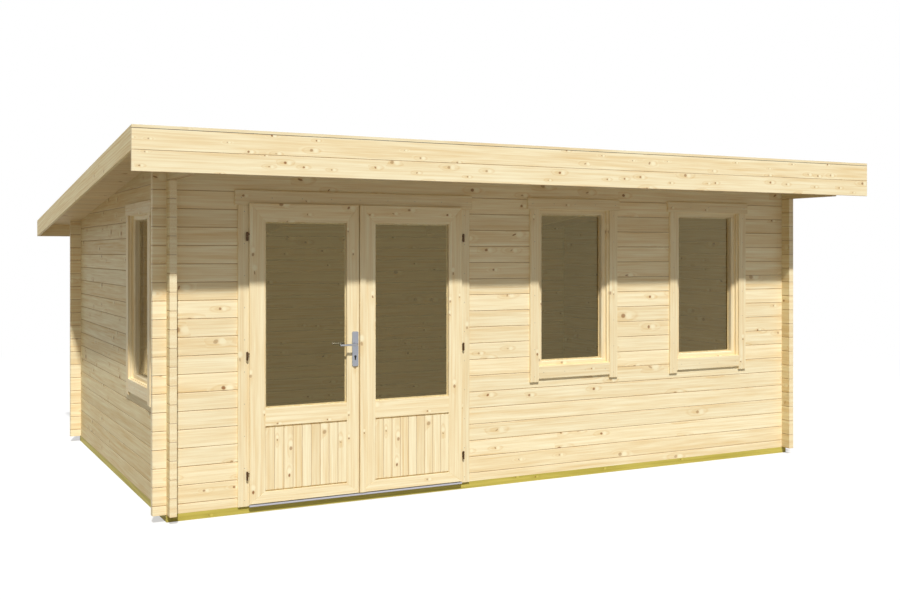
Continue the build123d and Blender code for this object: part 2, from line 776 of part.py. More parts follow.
def leaf_rails(leaf):
    """The top, middle and bottom rails of a leaf."""
    hinge_side, meeting_side = pane_edges(leaf)
    for edge, inner in ((LEAF_TOP, PANE_TOP), (LEAF_BOTTOM, BOTTOM_RAIL_TOP)):
        add(
            leaf_board(
                (leaf["hinge"], edge), (leaf["meeting"], edge), (meeting_side, inner), (hinge_side, inner)
            )
        )
    add(
        leaf_board(
            (hinge_side, PANEL_TOP),
            (meeting_side, PANEL_TOP),
            (meeting_side, PANE_BOTTOM),
            (hinge_side, PANE_BOTTOM),
        )
    )
    rebate(leaf)


def leaf_panel(leaf):
    """The upright tongued and grooved boards under the middle rail, grooved along both rails too."""
    low, high = sorted(pane_edges(leaf))
    outer = LEAF_FACE + PANEL_RECESS
    inner = outer + PANEL_THICKNESS
    pitch = (high - low) / PANEL_BOARDS
    outer_points = []
    inner_points = []
    for number in range(1, PANEL_BOARDS):
        outer_points += vee(low + number * pitch, BOARD_GROOVE, lambda x: outer, BOARD_GROOVE)
        inner_points += vee(low + number * pitch, BOARD_GROOVE, lambda x: inner, -BOARD_GROOVE)
    section = outline(
        Plane.XY.offset(BOTTOM_RAIL_TOP),
        (low, outer),
        *outer_points,
        (high, outer),
        (high, inner),
        *reversed(inner_points),
        (low, inner),
    )
    extrude(section, amount=PANEL_TOP - BOTTOM_RAIL_TOP)
    for end in (BOTTOM_RAIL_TOP, PANEL_TOP - PANEL_END_GROOVE_HEIGHT):
        block(
            (low, high),
            (outer - CUT, outer + PANEL_END_GROOVE_DEPTH),
            (end, end + PANEL_END_GROOVE_HEIGHT),
            Mode.SUBTRACT,
        )


def leaf_pane(leaf):
    """The sheet of glass above the middle rail."""
    face = LEAF_FACE + PANE_RECESS
    block(sorted(pane_edges(leaf)), (face, face + PANE_THICKNESS), (PANE_BOTTOM, PANE_TOP))


HANDLE_X = LEFT_LEAF["meeting"] - HANDLE_EDGE_DISTANCE
SPINDLE_BORE = LEVER_DIAMETER / 2 + SPINDLE_CLEARANCE
HANDLE_PLATE_BOTTOM = HANDLE_HEIGHT - HANDLE_PLATE_BELOW
HANDLE_PLATE_TOP = HANDLE_HEIGHT + HANDLE_PLATE_ABOVE
KEYHOLE_HEIGHT = HANDLE_HEIGHT - KEYHOLE_DROP

with BuildPart() as left_leaf_stiles:
    leaf_stiles(LEFT_LEAF)
    with Locations((HANDLE_X, (LEAF_FACE + LEAF_BACK) / 2, HANDLE_HEIGHT)):
        Cylinder(
            SPINDLE_BORE, LEAF_THICKNESS + 2 * CUT, rotation=(90, 0, 0), mode=Mode.SUBTRACT
        )
save(left_leaf_stiles, "left_leaf_stiles")

with BuildPart() as left_leaf_rails:
    leaf_rails(LEFT_LEAF)
save(left_leaf_rails, "left_leaf_rails")

with BuildPart() as left_leaf_panel:
    leaf_panel(LEFT_LEAF)
save(left_leaf_panel, "left_leaf_panel")

with BuildPart() as left_leaf_pane:
    leaf_pane(LEFT_LEAF)
save(left_leaf_pane, "left_leaf_pane")

with BuildPart() as right_leaf_stiles:
    leaf_stiles(RIGHT_LEAF)
save(right_leaf_stiles, "right_leaf_stiles")

with BuildPart() as right_leaf_rails:
    leaf_rails(RIGHT_LEAF)
save(right_leaf_rails, "right_leaf_rails")

with BuildPart() as right_leaf_panel:
    leaf_panel(RIGHT_LEAF)
save(right_leaf_panel, "right_leaf_panel")

with BuildPart() as right_leaf_pane:
    leaf_pane(RIGHT_LEAF)
save(right_leaf_pane, "right_leaf_pane")

with BuildPart() as meeting_cover_strip:
    strip_start = RIGHT_LEAF["meeting"]
    block(
        (strip_start, strip_start + COVER_STRIP_WIDTH),
        (LEAF_FACE - COVER_STRIP_THICKNESS, LEAF_FACE),
        (LEAF_BOTTOM, LEAF_TOP),
    )
    strip_face = meeting_cover_strip.faces().sort_by(Axis.Y)[0]
    chamfer(strip_face.edges(), CASING_CHAMFER)
save(meeting_cover_strip, "meeting_cover_strip")


# Hinges: a lower knuckle with the pin on the frame, an upper one on the leaf
HINGE_Y = LEAF_FACE + HINGE_FACE_OFFSET
LOW_HINGE = LEAF_BOTTOM + HINGE_FROM_BOTTOM
HIGH_HINGE = LEAF_TOP - HINGE_FROM_TOP
HINGE_HEIGHTS = (LOW_HINGE, (LOW_HINGE + HIGH_HINGE) / 2, HIGH_HINGE)
KNUCKLE_LENGTH = (HINGE_LENGTH - HINGE_KNUCKLE_GAP) / 2
PIN_LENGTH = KNUCKLE_LENGTH * HINGE_PIN_SHARE


def hinge_x(leaf):
    """The line of a leaf's hinges."""
    return leaf["hinge"] - leaf["side"] * HINGE_SIDE_OFFSET


def knuckle(x, base, rounded_end):
    """Half of a hinge's barrel, rounded at the end that shows."""
    with BuildPart(mode=Mode.PRIVATE) as barrel:
        with Locations((x, HINGE_Y, base)):
            Cylinder(
                HINGE_DIAMETER / 2, KNUCKLE_LENGTH, align=(Align.CENTER, Align.CENTER, Align.MIN)
            )
        ends = barrel.edges().filter_by(GeomType.CIRCLE).sort_by(Axis.Z)
        fillet(ends[rounded_end], HINGE_END_ROUNDING)
    add(barrel.part)


def frame_knuckle(x, z):
    """The fixed half of one hinge: a knuckle, its pin, and the arm that goes into the frame."""
    base = z - HINGE_LENGTH / 2
    knuckle(x, base, 0)
    with Locations((x, HINGE_Y, base)):
        Cylinder(
            HINGE_PIN_DIAMETER / 2,
            KNUCKLE_LENGTH + PIN_LENGTH,
            align=(Align.CENTER, Align.CENTER, Align.MIN),
        )
    with Locations((x, (HINGE_Y + CASING_FACE) / 2, base + KNUCKLE_LENGTH / 2)):
        Cylinder(HINGE_ARM_DIAMETER / 2, CASING_FACE - HINGE_Y, rotation=(90, 0, 0))


def leaf_knuckle(leaf, z):
    """The moving half of one hinge: a bored knuckle and the arm that goes into the leaf."""
    x = hinge_x(leaf)
    base = z - HINGE_LENGTH / 2 + KNUCKLE_LENGTH + HINGE_KNUCKLE_GAP
    arm_end = leaf["hinge"]
    knuckle(x, base, -1)
    with Locations(((x + arm_end) / 2, HINGE_Y, base + KNUCKLE_LENGTH / 2)):
        Cylinder(HINGE_ARM_DIAMETER / 2, abs(arm_end - x), rotation=(0, 90, 0))
    with Locations((x, HINGE_Y, base)):
        Cylinder(
            HINGE_PIN_DIAMETER / 2 + HINGE_PIN_CLEARANCE,
            PIN_LENGTH + HINGE_KNUCKLE_GAP,
            align=(Align.CENTER, Align.CENTER, Align.MIN),
            mode=Mode.SUBTRACT,
        )


with BuildPart() as frame_hinges:
    for leaf in (LEFT_LEAF, RIGHT_LEAF):
        for height in HINGE_HEIGHTS:
            frame_knuckle(hinge_x(leaf), height)
save(frame_hinges, "frame_hinges")

with BuildPart() as left_leaf_hinges:
    for height in HINGE_HEIGHTS:
        leaf_knuckle(LEFT_LEAF, height)
save(left_leaf_hinges, "left_leaf_hinges")

with BuildPart() as right_leaf_hinges:
    for height in HINGE_HEIGHTS:
        leaf_knuckle(RIGHT_LEAF, height)
save(right_leaf_hinges, "right_leaf_hinges")


# Door handle: a long plate on each face of the left leaf, and one lever through both
def handle_plate(y_back):
    """A plate with rounded corners, standing outwards from y_back, with a hole for the spindle."""
    middle = (HANDLE_PLATE_BOTTOM + HANDLE_PLATE_TOP) / 2
    with BuildPart(mode=Mode.PRIVATE) as plate:
        with BuildSketch(front_plane(y_back)):
            with Locations((HANDLE_X, middle)):
                RectangleRounded(
                    HANDLE_PLATE_WIDTH, HANDLE_PLATE_TOP - HANDLE_PLATE_BOTTOM, HANDLE_PLATE_RADIUS
                )
            with Locations((HANDLE_X, HANDLE_HEIGHT)):
                Circle(SPINDLE_BORE, mode=Mode.SUBTRACT)
        extrude(amount=HANDLE_PLATE_THICKNESS)
    return plate.part


def keyhole(y_from, y_to):
    """The keyhole's shape, cut into the visible face of a plate."""
    slot_drop = (KEYHOLE_LENGTH - KEYHOLE_DIAMETER) / 2
    with BuildPart(mode=Mode.PRIVATE) as cut:
        with BuildSketch(front_plane(y_to)):
            with Locations((HANDLE_X, KEYHOLE_HEIGHT + slot_drop)):
                Circle(KEYHOLE_DIAMETER / 2)
            with Locations((HANDLE_X, KEYHOLE_HEIGHT)):
                SlotOverall(KEYHOLE_LENGTH, KEYHOLE_SLOT_WIDTH, rotation=90)
        extrude(amount=y_to - y_from)
    return cut.part


OUTER_PLATE_FACE = LEAF_FACE - HANDLE_PLATE_THICKNESS
INNER_PLATE_FACE = LEAF_BACK + HANDLE_PLATE_THICKNESS
with BuildPart() as handle_plates:
    add(handle_plate(LEAF_FACE))
    add(handle_plate(INNER_PLATE_FACE))
    add(keyhole(OUTER_PLATE_FACE, OUTER_PLATE_FACE + KEYHOLE_DEPTH), mode=Mode.SUBTRACT)
    add(keyhole(INNER_PLATE_FACE - KEYHOLE_DEPTH, INNER_PLATE_FACE), mode=Mode.SUBTRACT)
save(handle_plates, "handle_plates")

with BuildPart() as lever_handle:
    outer_reach = OUTER_PLATE_FACE - LEVER_REACH
    inner_reach = INNER_PLATE_FACE + LEVER_REACH
    with BuildLine() as lever_path:
        FilletPolyline(
            (HANDLE_X - LEVER_LENGTH, outer_reach, HANDLE_HEIGHT),
            (HANDLE_X, outer_reach, HANDLE_HEIGHT),
            (HANDLE_X, inner_reach, HANDLE_HEIGHT),
            (HANDLE_X - LEVER_LENGTH, inner_reach, HANDLE_HEIGHT),
            radius=LEVER_BEND,
        )
    with BuildSketch(Plane(lever_path.line @ 0, z_dir=lever_path.line % 0)):
        Circle(LEVER_DIAMETER / 2)
    sweep()
    grip_ends = lever_handle.faces().filter_by(GeomType.PLANE)
    fillet(grip_ends.edges(), LEVER_END_ROUNDING)
save(lever_handle, "lever_handle")


# Windows. Each is drawn in front of a plane of its own, whose X runs along the wall
class Window:
    """One window: a plane on the wall's outer face, with its origin under the window's middle."""

    def __init__(self, origin, along, drop):
        self.plane = Plane(origin=origin, x_dir=along, z_dir=Vector(*along).cross(Vector(0, 0, 1)))
        self.bottom = WINDOW_BOTTOM - drop
        self.top = WINDOW_TOP - drop
        self.casing_bottom = WINDOW_CASING_BOTTOM - drop
        self.casing_top = HEAD_CASING_TOP - drop
        self.pane_bottom = self.bottom + LINING_END_REVEAL + SASH_BOTTOM_RAIL
        self.pane_top = self.top - LINING_END_REVEAL - SASH_TOP_RAIL

    def board(self, low, high, back, front):
        """A board between two corners in the wall's plane, from back to front in depth."""
        with BuildSketch(self.plane.offset(back)) as face:
            with Locations(((low[0] + high[0]) / 2, (low[1] + high[1]) / 2)):
                Rectangle(high[0] - low[0], high[1] - low[1])
        return extrude(face.sketch, amount=front - back, mode=Mode.PRIVATE)

    def casing(self, low, high):
        """A casing board on the wall's face, with the edges of its own face taken off."""
        with BuildPart(mode=Mode.PRIVATE) as made:
            add(self.board(low, high, 0, CASING_THICKNESS))
            face = made.faces().sort_by(Axis(self.plane.origin, self.plane.z_dir))[-1]
            chamfer(face.edges(), CASING_CHAMFER)
        return made.part

    def ring(self, outer_low, outer_high, inner_low, inner_high, back, front):
        """A frame of four boards in one piece."""
        outer = self.board(outer_low, outer_high, back, front)
        inner = self.board(inner_low, inner_high, back - CUT, front + CUT)
        return outer - inner


WINDOWS = [Window((LEFT + centre, FRONT, 0), (1, 0, 0), 0) for centre in WINDOW_CENTRES]
WINDOWS.append(Window((LEFT, LEFT_WINDOW_Y, 0), (0, -1, 0), SIDE_WINDOW_DROP))

with BuildPart() as window_linings:
    for window in WINDOWS:
        add(
            window.ring(
                (-HALF_OPENING, window.bottom - OPENING_MARGIN),
                (HALF_OPENING, window.top + OPENING_MARGIN),
                (-HALF_LINING, window.bottom + LINING_END_REVEAL),
                (HALF_LINING, window.top - LINING_END_REVEAL),
                -LOG_THICKNESS - CASING_THICKNESS,
                0,
            )
        )
save(window_linings, "window_linings")

with BuildPart() as window_sashes:
    for window in WINDOWS:
        with BuildPart(mode=Mode.PRIVATE) as sash:
            add(
                window.ring(
                    (-HALF_LINING, window.bottom + LINING_END_REVEAL),
                    (HALF_LINING, window.top - LINING_END_REVEAL),
                    (-HALF_PANE, window.pane_bottom),
                    (HALF_PANE, window.pane_top),
                    -SASH_SETBACK - SASH_THICKNESS,
                    -SASH_SETBACK,
                )
            )
            facing = sash.faces().sort_by(Axis(window.plane.origin, window.plane.z_dir))
            for face in (facing[0], facing[-1]):
                chamfer(face.inner_wires()[0].edges(), SASH_CHAMFER)
        add(sash.part)
save(window_sashes, "window_sashes")

with BuildPart() as window_panes:
    pane_front = -SASH_SETBACK - SASH_PANE_DEPTH
    for window in WINDOWS:
        add(
            window.board(
                (-HALF_PANE, window.pane_bottom),
                (HALF_PANE, window.pane_top),
                pane_front - PANE_THICKNESS,
                pane_front,
            )
        )
save(window_panes, "window_panes")


CASING_EDGE = HALF_WINDOW + WINDOW_CASING_WIDTH
with BuildPart() as window_side_casings:
    for window in WINDOWS:
        for low, high in ((-CASING_EDGE, -HALF_WINDOW), (HALF_WINDOW, CASING_EDGE)):
            add(window.casing((low, window.casing_bottom), (high, window.top)))
save(window_side_casings, "window_side_casings")

with BuildPart() as window_head_casings:
    for window in WINDOWS:
        half_head = CASING_EDGE + HEAD_CASING_OVERHANG
        add(window.casing((-half_head, window.top), (half_head, window.casing_top)))
save(window_head_casings, "window_head_casings")

with BuildPart() as window_aprons:
    for window in WINDOWS:
        add(
            window.casing(
                (-HALF_WINDOW, window.bottom - APRON_HEIGHT), (HALF_WINDOW, window.bottom)
            )
        )
save(window_aprons, "window_aprons")

with BuildPart() as window_inner_casings:
    half_inner_casing = HALF_OPENING + INNER_CASING_WIDTH
    end_margin = OPENING_MARGIN + INNER_CASING_WIDTH
    for window in WINDOWS:
        add(
            window.ring(
                (-half_inner_casing, window.bottom - end_margin),
                (half_inner_casing, window.top + end_margin),
                (-HALF_OPENING, window.bottom - OPENING_MARGIN),
                (HALF_OPENING, window.top + OPENING_MARGIN),
                -LOG_THICKNESS - CASING_THICKNESS,
                -LOG_THICKNESS,
            )
        )
save(window_inner_casings, "window_inner_casings")
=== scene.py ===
import math

import bmesh
import bpy
from mathutils import Matrix, Vector


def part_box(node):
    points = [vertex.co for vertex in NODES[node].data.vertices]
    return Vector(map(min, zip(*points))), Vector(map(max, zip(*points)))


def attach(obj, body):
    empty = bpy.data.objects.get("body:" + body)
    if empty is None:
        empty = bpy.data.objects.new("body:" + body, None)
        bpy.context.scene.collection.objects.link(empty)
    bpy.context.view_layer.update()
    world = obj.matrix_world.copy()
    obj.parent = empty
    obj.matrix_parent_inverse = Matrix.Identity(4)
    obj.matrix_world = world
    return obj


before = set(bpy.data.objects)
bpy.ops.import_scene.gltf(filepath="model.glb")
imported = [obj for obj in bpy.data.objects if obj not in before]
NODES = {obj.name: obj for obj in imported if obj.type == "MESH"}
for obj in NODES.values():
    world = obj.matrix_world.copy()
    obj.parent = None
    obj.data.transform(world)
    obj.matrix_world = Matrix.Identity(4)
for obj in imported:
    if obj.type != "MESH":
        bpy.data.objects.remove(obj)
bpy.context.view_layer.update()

bl_info = {
    "name": "Log Summerhouse",
    "version": (1, 0, 0),
    "blender": (4, 5, 0),
    "location": "3D View > Sidebar > Summerhouse",
    "description": "Finishes, fixings and lighting for a log summerhouse with a pent roof",
    "category": "Object",
}

# How the boards are cut, in metres
LOG_HEIGHT = 0.114
FLOOR_BOARD_WIDTH = 0.114
ROOF_BOARD_WIDTH = 0.114
FASCIA_BOARD_HEIGHT = 0.12
PANEL_BOARDS = 9
BOARDING_JOINT = 0.003
FINE_JOINT = 0.0025

# A pattern board wider than the whole summerhouse, for pieces that have no joints of their own
WHOLE_WIDTH = 20.0
WHOLE_START = -7.3

# The left wall's window is left of this x, and stands half a course lower than those of the front
LEFT_WINDOW_LIMIT = -2.45
LEFT_WINDOW_DROP = LOG_HEIGHT / 2

# The grain of a frame stands upright between two levels, and lies below and above them
BELOW_ALL = -1.0
ALL_UPRIGHT = (BELOW_ALL, 9.0)
ALL_LYING = (8.0, 9.0)

# How high the lying boards are at the foot and the head of each ring round a window
INNER_CASING_BOARD = 0.06
WINDOW_RING_BOARDS = {
    "window_linings": (0.02, 0.02),
    "window_sashes": (0.029, 0.03),
    "window_inner_casings": (INNER_CASING_BOARD, INNER_CASING_BOARD),
}

# The lock behind each keyhole, a barrel and a key slot whose dark colour is painted shade in the keyhole,
# and the screws of the handle's plates
LOCK_DEPTH = 0.0035
LOCK_RADIUS = 0.008
LOCK_THICKNESS = 0.001
LOCK_RISE = 0.008
KEY_SLOT = (0.009, 0.001, 0.02)
KEY_SLOT_DROP = 0.005
SCREW_FROM_END = 0.012
SCREW_RISE = 0.0008

# The heads of nails and screws
HEAD_SIDES = 10
HEAD_TAPER = 0.72

# How far the strips of felt stop short of the edges, and their nails, which stand at a share of the lap
FELT_EDGE = 0.045
FELT_NAIL_MARGIN = 0.03
FELT_NAIL_RISE = 0.0012
FELT_NAIL_SHARE = 0.35

# The floor glows by half up to FLOOR_FADE metres out, and as white as the backdrop from FLOOR_WHITE
FLOOR_FADE = 5.0
FLOOR_WHITE = 11.0

# The photograph's viewing angle: the camera's place, turn to the right, lens and sensor in mm, and shift
CAMERA_PLACE = (-4.092, -8.227, 1.652)
CAMERA_TURN = math.radians(27.56)
CAMERA_LENS = 43.435
CAMERA_SENSOR = 36.0
CAMERA_SHIFT = -0.052
CAMERA_REACH = 200.0


# Sizes and colours that a user would change
def length(name, description, default):
    return bpy.props.FloatProperty(
        name=name, description=description, default=default, min=0.0, unit="LENGTH", precision=4
    )


def share(name, description, default):
    return bpy.props.FloatProperty(
        name=name, description=description, default=default, min=0.0, max=1.0, subtype="FACTOR"
    )


def colour(name, description, default):
    return bpy.props.FloatVectorProperty(
        name=name, description=description, default=default, min=0.0, max=1.0, size=3, subtype="COLOR"
    )


def angle(name, description, degrees):
    return bpy.props.FloatProperty(
        name=name, description=description, default=math.radians(degrees), unit="ROTATION"
    )


def srgb(red, green, blue):
    """A colour given from 0 to 255 as it looks on a screen, turned into the one that lamps light."""
    values = [channel / 255 for channel in (red, green, blue)]
    return tuple(v / 12.92 if v <= 0.04045 else ((v + 0.055) / 1.055) ** 2.4 for v in values)


class SummerhouseTimber(bpy.types.PropertyGroup):
    log_height: length("Log height", "Height of one course of logs", LOG_HEIGHT)
    joint_width: length("Joint width", "Width of the dark line where two logs meet", 0.0035)
    ring_spacing: length("Ring spacing", "Distance between two yearly rings", 0.0042)
    knot_spacing: length("Knot spacing", "Usual distance between two knots", 0.15)
    knot_size: length("Knot size", "Half the width of the smallest knots", 0.005)
    log_knot_size: length("Knot size, logs", "Half the width of the smallest knots in the logs", 0.0065)
    knot_share: share("Knots", "How many of the possible knots are there", 0.3)
    pale_wood: colour("Pale wood", "Early wood of planed pine", srgb(253, 241, 203))
    late_wood: colour("Late wood", "Late wood of planed pine", srgb(230, 198, 141))
    knot_wood: colour("Knots", "Colour of a knot", srgb(140, 86, 38))
    # Darker, warmer copies of the pine for the side logs and side fascias: painted shade on the sides
    side_pale_painted_shade: colour("Side timber, pale", "Early wood of side logs and fascias", srgb(235, 221, 175))
    side_late_painted_shade: colour("Side timber, late", "Late wood of side logs and fascias", srgb(213, 180, 119))
    # Darker copies of the pine for the roof boards: painted shade on the soffit under the eaves
    roof_pale_painted_shade: colour("Roof boards, pale", "Early wood of the roof boards", srgb(234, 216, 172))
    roof_late_painted_shade: colour("Roof boards, late", "Late wood of the roof boards", srgb(208, 172, 115))
    treated_pale: colour("Treated pale", "Early wood of pressure treated pine", srgb(213, 196, 97))
    treated_late: colour("Treated late", "Late wood of pressure treated pine", srgb(170, 154, 59))


class SummerhouseRoof(bpy.types.PropertyGroup):
    felt_colour: colour("Felt", "Mineral felt", srgb(72, 74, 72))
    sheet_width: length("Sheet width", "Width of one strip of felt", 1.0)
    sheet_lap: length("Lap", "How far a strip laps over the next one down", 0.09)
    sheet_thickness: length("Thickness", "Thickness of the felt", 0.003)
    nail_spacing: length("Nail spacing", "Distance between the clout nails of a lap", 0.09)
    nail_head: length("Nail head", "Diameter of a clout nail's head", 0.011)


class SummerhouseFixings(bpy.types.PropertyGroup):
    nail_head: length("Nail head", "Diameter of a casing nail's head", 0.005)
    screw_head: length("Screw head", "Diameter of a screw's head in the handle's plates", 0.008)
    nail_rise: length("Nail rise", "How far a casing nail stands out of its board", 0.0008)
    nail_spacing: length("Spacing", "Distance between the nails of a casing", 0.195)
    end_distance: length("End distance", "From the last nail to the end of its board", 0.04)
    keyhole_rise: length("Keyhole", "From the foot of the handle's plate to the keyhole", 0.056)
    # The lock's dark colour is painted shade in the keyhole's hollow, not the colour of its metal
    lock_painted_shade_colour: colour("Lock", "Dark metal of the lock in the keyhole", srgb(46, 42, 38))
    hinge_colour: colour("Hinges", "Bronze coloured steel of the hinges", srgb(84, 58, 30))
    handle_colour: colour("Handle", "Satin metal of the door handle", srgb(163, 166, 173))
    threshold_colour: colour("Threshold", "Anodised metal of the threshold", srgb(190, 190, 200))
    zinc_colour: colour("Nails", "Zinc of the nails", srgb(150, 146, 138))


class SummerhouseGlazing(bpy.types.PropertyGroup):
    # The brown of the glass and of what it mirrors is painted reflection of brown surroundings that the
    # stage doesn't have
    tint: colour("Tint", "Colour of the glass", srgb(255, 246, 212))
    painted_reflection_tint: colour("Reflection", "Colour that the glass gives to what it mirrors", srgb(255, 240, 190))
    bead_width: length("Bead width", "Width of the beads that hold the panes", 0.009)
    bead_depth: length("Bead depth", "Depth of the beads that hold the panes", 0.006)


class SummerhouseStage(bpy.types.PropertyGroup):
    floor_size: length("Floor size", "Side of the floor", 120.0)
    floor_colour: colour("Floor", "Pale studio floor", srgb(250, 250, 250))
    floor_bounce: colour("Bounce", "Colour of the light that the floor throws back", (0.29, 0.285, 0.27))
    sun_height: angle("Sun height", "Angle of the main lamp above the floor", 49.8)
    sun_side: angle("Sun side", "Turn of the main lamp to the left of the front", 17.5)
    sun_softness: angle("Softness", "Angle that the main lamp covers", 2.2)
    sun_strength: bpy.props.FloatProperty(
        name="Main lamp", description="Strength of the main lamp", default=3.45, min=0.0
    )
    fill_strength: bpy.props.FloatProperty(
        name="Fill", description="Strength of the light from all around", default=0.34, min=0.0
    )


SETTINGS = {
    "summerhouse_timber": SummerhouseTimber,
    "summerhouse_roof": SummerhouseRoof,
    "summerhouse_fixings": SummerhouseFixings,
    "summerhouse_glazing": SummerhouseGlazing,
    "summerhouse_stage": SummerhouseStage,
}


# Building node trees
def add_node(tree, kind, **settings):
    made = tree.nodes.new(kind)
    for name, value in settings.items():
        setattr(made, name, value)
    return made


def feed(tree, socket, value):
    """Link a socket to a value that is a socket too, or set it to a number or a colour."""
    if isinstance(value, bpy.types.NodeSocket):
        tree.links.new(value, socket)
    elif isinstance(value, (tuple, list)) and len(value) == 3 and len(socket.default_value) == 4:
        socket.default_value = (*value, 1.0)
    else:
        socket.default_value = value


def calc(tree, operation, *values, clamp=False):
    made = add_node(tree, "ShaderNodeMath", operation=operation, use_clamp=clamp)
    for socket, value in zip(made.inputs, values):
        feed(tree, socket, value)
    return made.outputs[0]


def plus(tree, first, second):
    return calc(tree, "ADD", first, second)


def minus(tree, first, second):
    return calc(tree, "SUBTRACT", first, second)


def times(tree, first, second):
    return calc(tree, "MULTIPLY", first, second)


def over(tree, first, second):
    return calc(tree, "DIVIDE", first, second)


def line(tree, value, slope, start):
    """The value times slope, plus start."""
    return calc(tree, "MULTIPLY_ADD", value, slope, start)


def ramp(tree, value, low, high, start=0.0, end=1.0):
    """A smooth step from start, where value is low, to end, where it is high."""
    made = add_node(tree, "ShaderNodeMapRange", interpolation_type="SMOOTHSTEP")
    for name, number in (
        ("Value", value),
        ("From Min", low),
        ("From Max", high),
        ("To Min", start),
        ("To Max", end),
    ):
        feed(tree, made.inputs[name], number)
    return made.outputs["Result"]


def blend_colours(tree, factor, first, second, blend_type="MIX"):
    made = add_node(tree, "ShaderNodeMix", data_type="RGBA", blend_type=blend_type)
    feed(tree, made.inputs[0], factor)
    feed(tree, made.inputs[6], first)
    feed(tree, made.inputs[7], second)
    return made.outputs[2]


def vector_calc(tree, operation, *values):
    made = add_node(tree, "ShaderNodeVectorMath", operation=operation)
    for socket, value in zip(made.inputs, values):
        feed(tree, socket, value)
    return made.outputs["Value" if operation == "LENGTH" else "Vector"]


def stretched_length(tree, vector, factors):
    """The length of a vector after each of its axes is multiplied by a factor."""
    return vector_calc(tree, "LENGTH", vector_calc(tree, "MULTIPLY", vector, factors))


def split(tree, vector):
    made = add_node(tree, "ShaderNodeSeparateXYZ")
    feed(tree, made.inputs[0], vector)
    return made.outputs[0], made.outputs[1], made.outputs[2]


def join(tree, x=0.0, y=0.0, z=0.0):
    made = add_node(tree, "ShaderNodeCombineXYZ")
    for socket, value in zip(made.inputs, (x, y, z)):
        feed(tree, socket, value)
    return made.outputs[0]


def shade_colour(tree, shade, tint):
    """A colour made lighter or darker all through by a factor."""
    return blend_colours(tree, 1.0, tint, join(tree, shade, shade, shade), "MULTIPLY")


def noise(tree, vector, scale=1.0, detail=2.0, roughness=0.5):
    made = add_node(tree, "ShaderNodeTexNoise")
    feed(tree, made.inputs["Vector"], vector)
    feed(tree, made.inputs["Scale"], scale)
    feed(tree, made.inputs["Detail"], detail)
    feed(tree, made.inputs["Roughness"], roughness)
    return made.outputs[0]


def wood_noise(tree, along, along_scale, across, across_scale, **settings):
    """Noise drawn out along the grain."""
    place = join(tree, times(tree, along, along_scale), times(tree, across, across_scale))
    return noise(tree, place, **settings)


def seen_directly(tree):
    """One for what the camera sees, also by way of a mirror or glass, and nought for bounced light."""
    rays = add_node(tree, "ShaderNodeLightPath").outputs
    seen = calc(tree, "MAXIMUM", rays["Is Camera Ray"], rays["Is Glossy Ray"])
    return calc(tree, "MAXIMUM", seen, rays["Is Transmission Ray"])


def mix_surfaces(tree, factor, first, second):
    """Show the second shader where factor is one, and the first where it is nought."""
    made = add_node(tree, "ShaderNodeMixShader")
    feed(tree, made.inputs[0], factor)
    feed(tree, made.inputs[1], first.outputs[0])
    feed(tree, made.inputs[2], second.outputs[0])
    output = next(n for n in tree.nodes if n.type == "OUTPUT_MATERIAL")
    feed(tree, output.inputs["Surface"], made.outputs[0])


def new_group(name, inputs, outputs):
    """An empty shader group with its named sockets, and its input and output nodes."""
    tree = bpy.data.node_groups.new(name, "ShaderNodeTree")
    for in_out, sockets in (("INPUT", inputs), ("OUTPUT", outputs)):
        for socket_name, kind, default in sockets:
            socket = tree.interface.new_socket(
                name=socket_name, in_out=in_out, socket_type="NodeSocket" + kind
            )
            if default is not None:
                socket.default_value = (*default, 1.0) if kind == "Color" else default
    given = add_node(tree, "NodeGroupInput").outputs
    result = add_node(tree, "NodeGroupOutput").inputs
    return tree, given, result


def add_boards(tree, given):
    """Where a point lies along, across and in the depth of its board, and that board's own chances."""
    along, across, depth = split(tree, given["Vector"])
    place = over(tree, minus(tree, across, given["Board Start"]), given["Board Width"])
    board = calc(tree, "FLOOR", place)
    centred = minus(tree, minus(tree, place, board), 0.5)
    local = times(tree, centred, given["Board Width"])
    own = add_node(tree, "ShaderNodeTexWhiteNoise", noise_dimensions="1D")
    feed(tree, own.inputs["W"], plus(tree, board, given["Seed"]))
    chance = split(tree, own.outputs["Color"])
    # No two boards show the same wood: each is moved up to 19 m along, and 1.7 m across from the next
    shifted = line(tree, chance[0], 19.0, along)
    row = line(tree, board, 1.7, local)
    return shifted, row, local, depth, chance


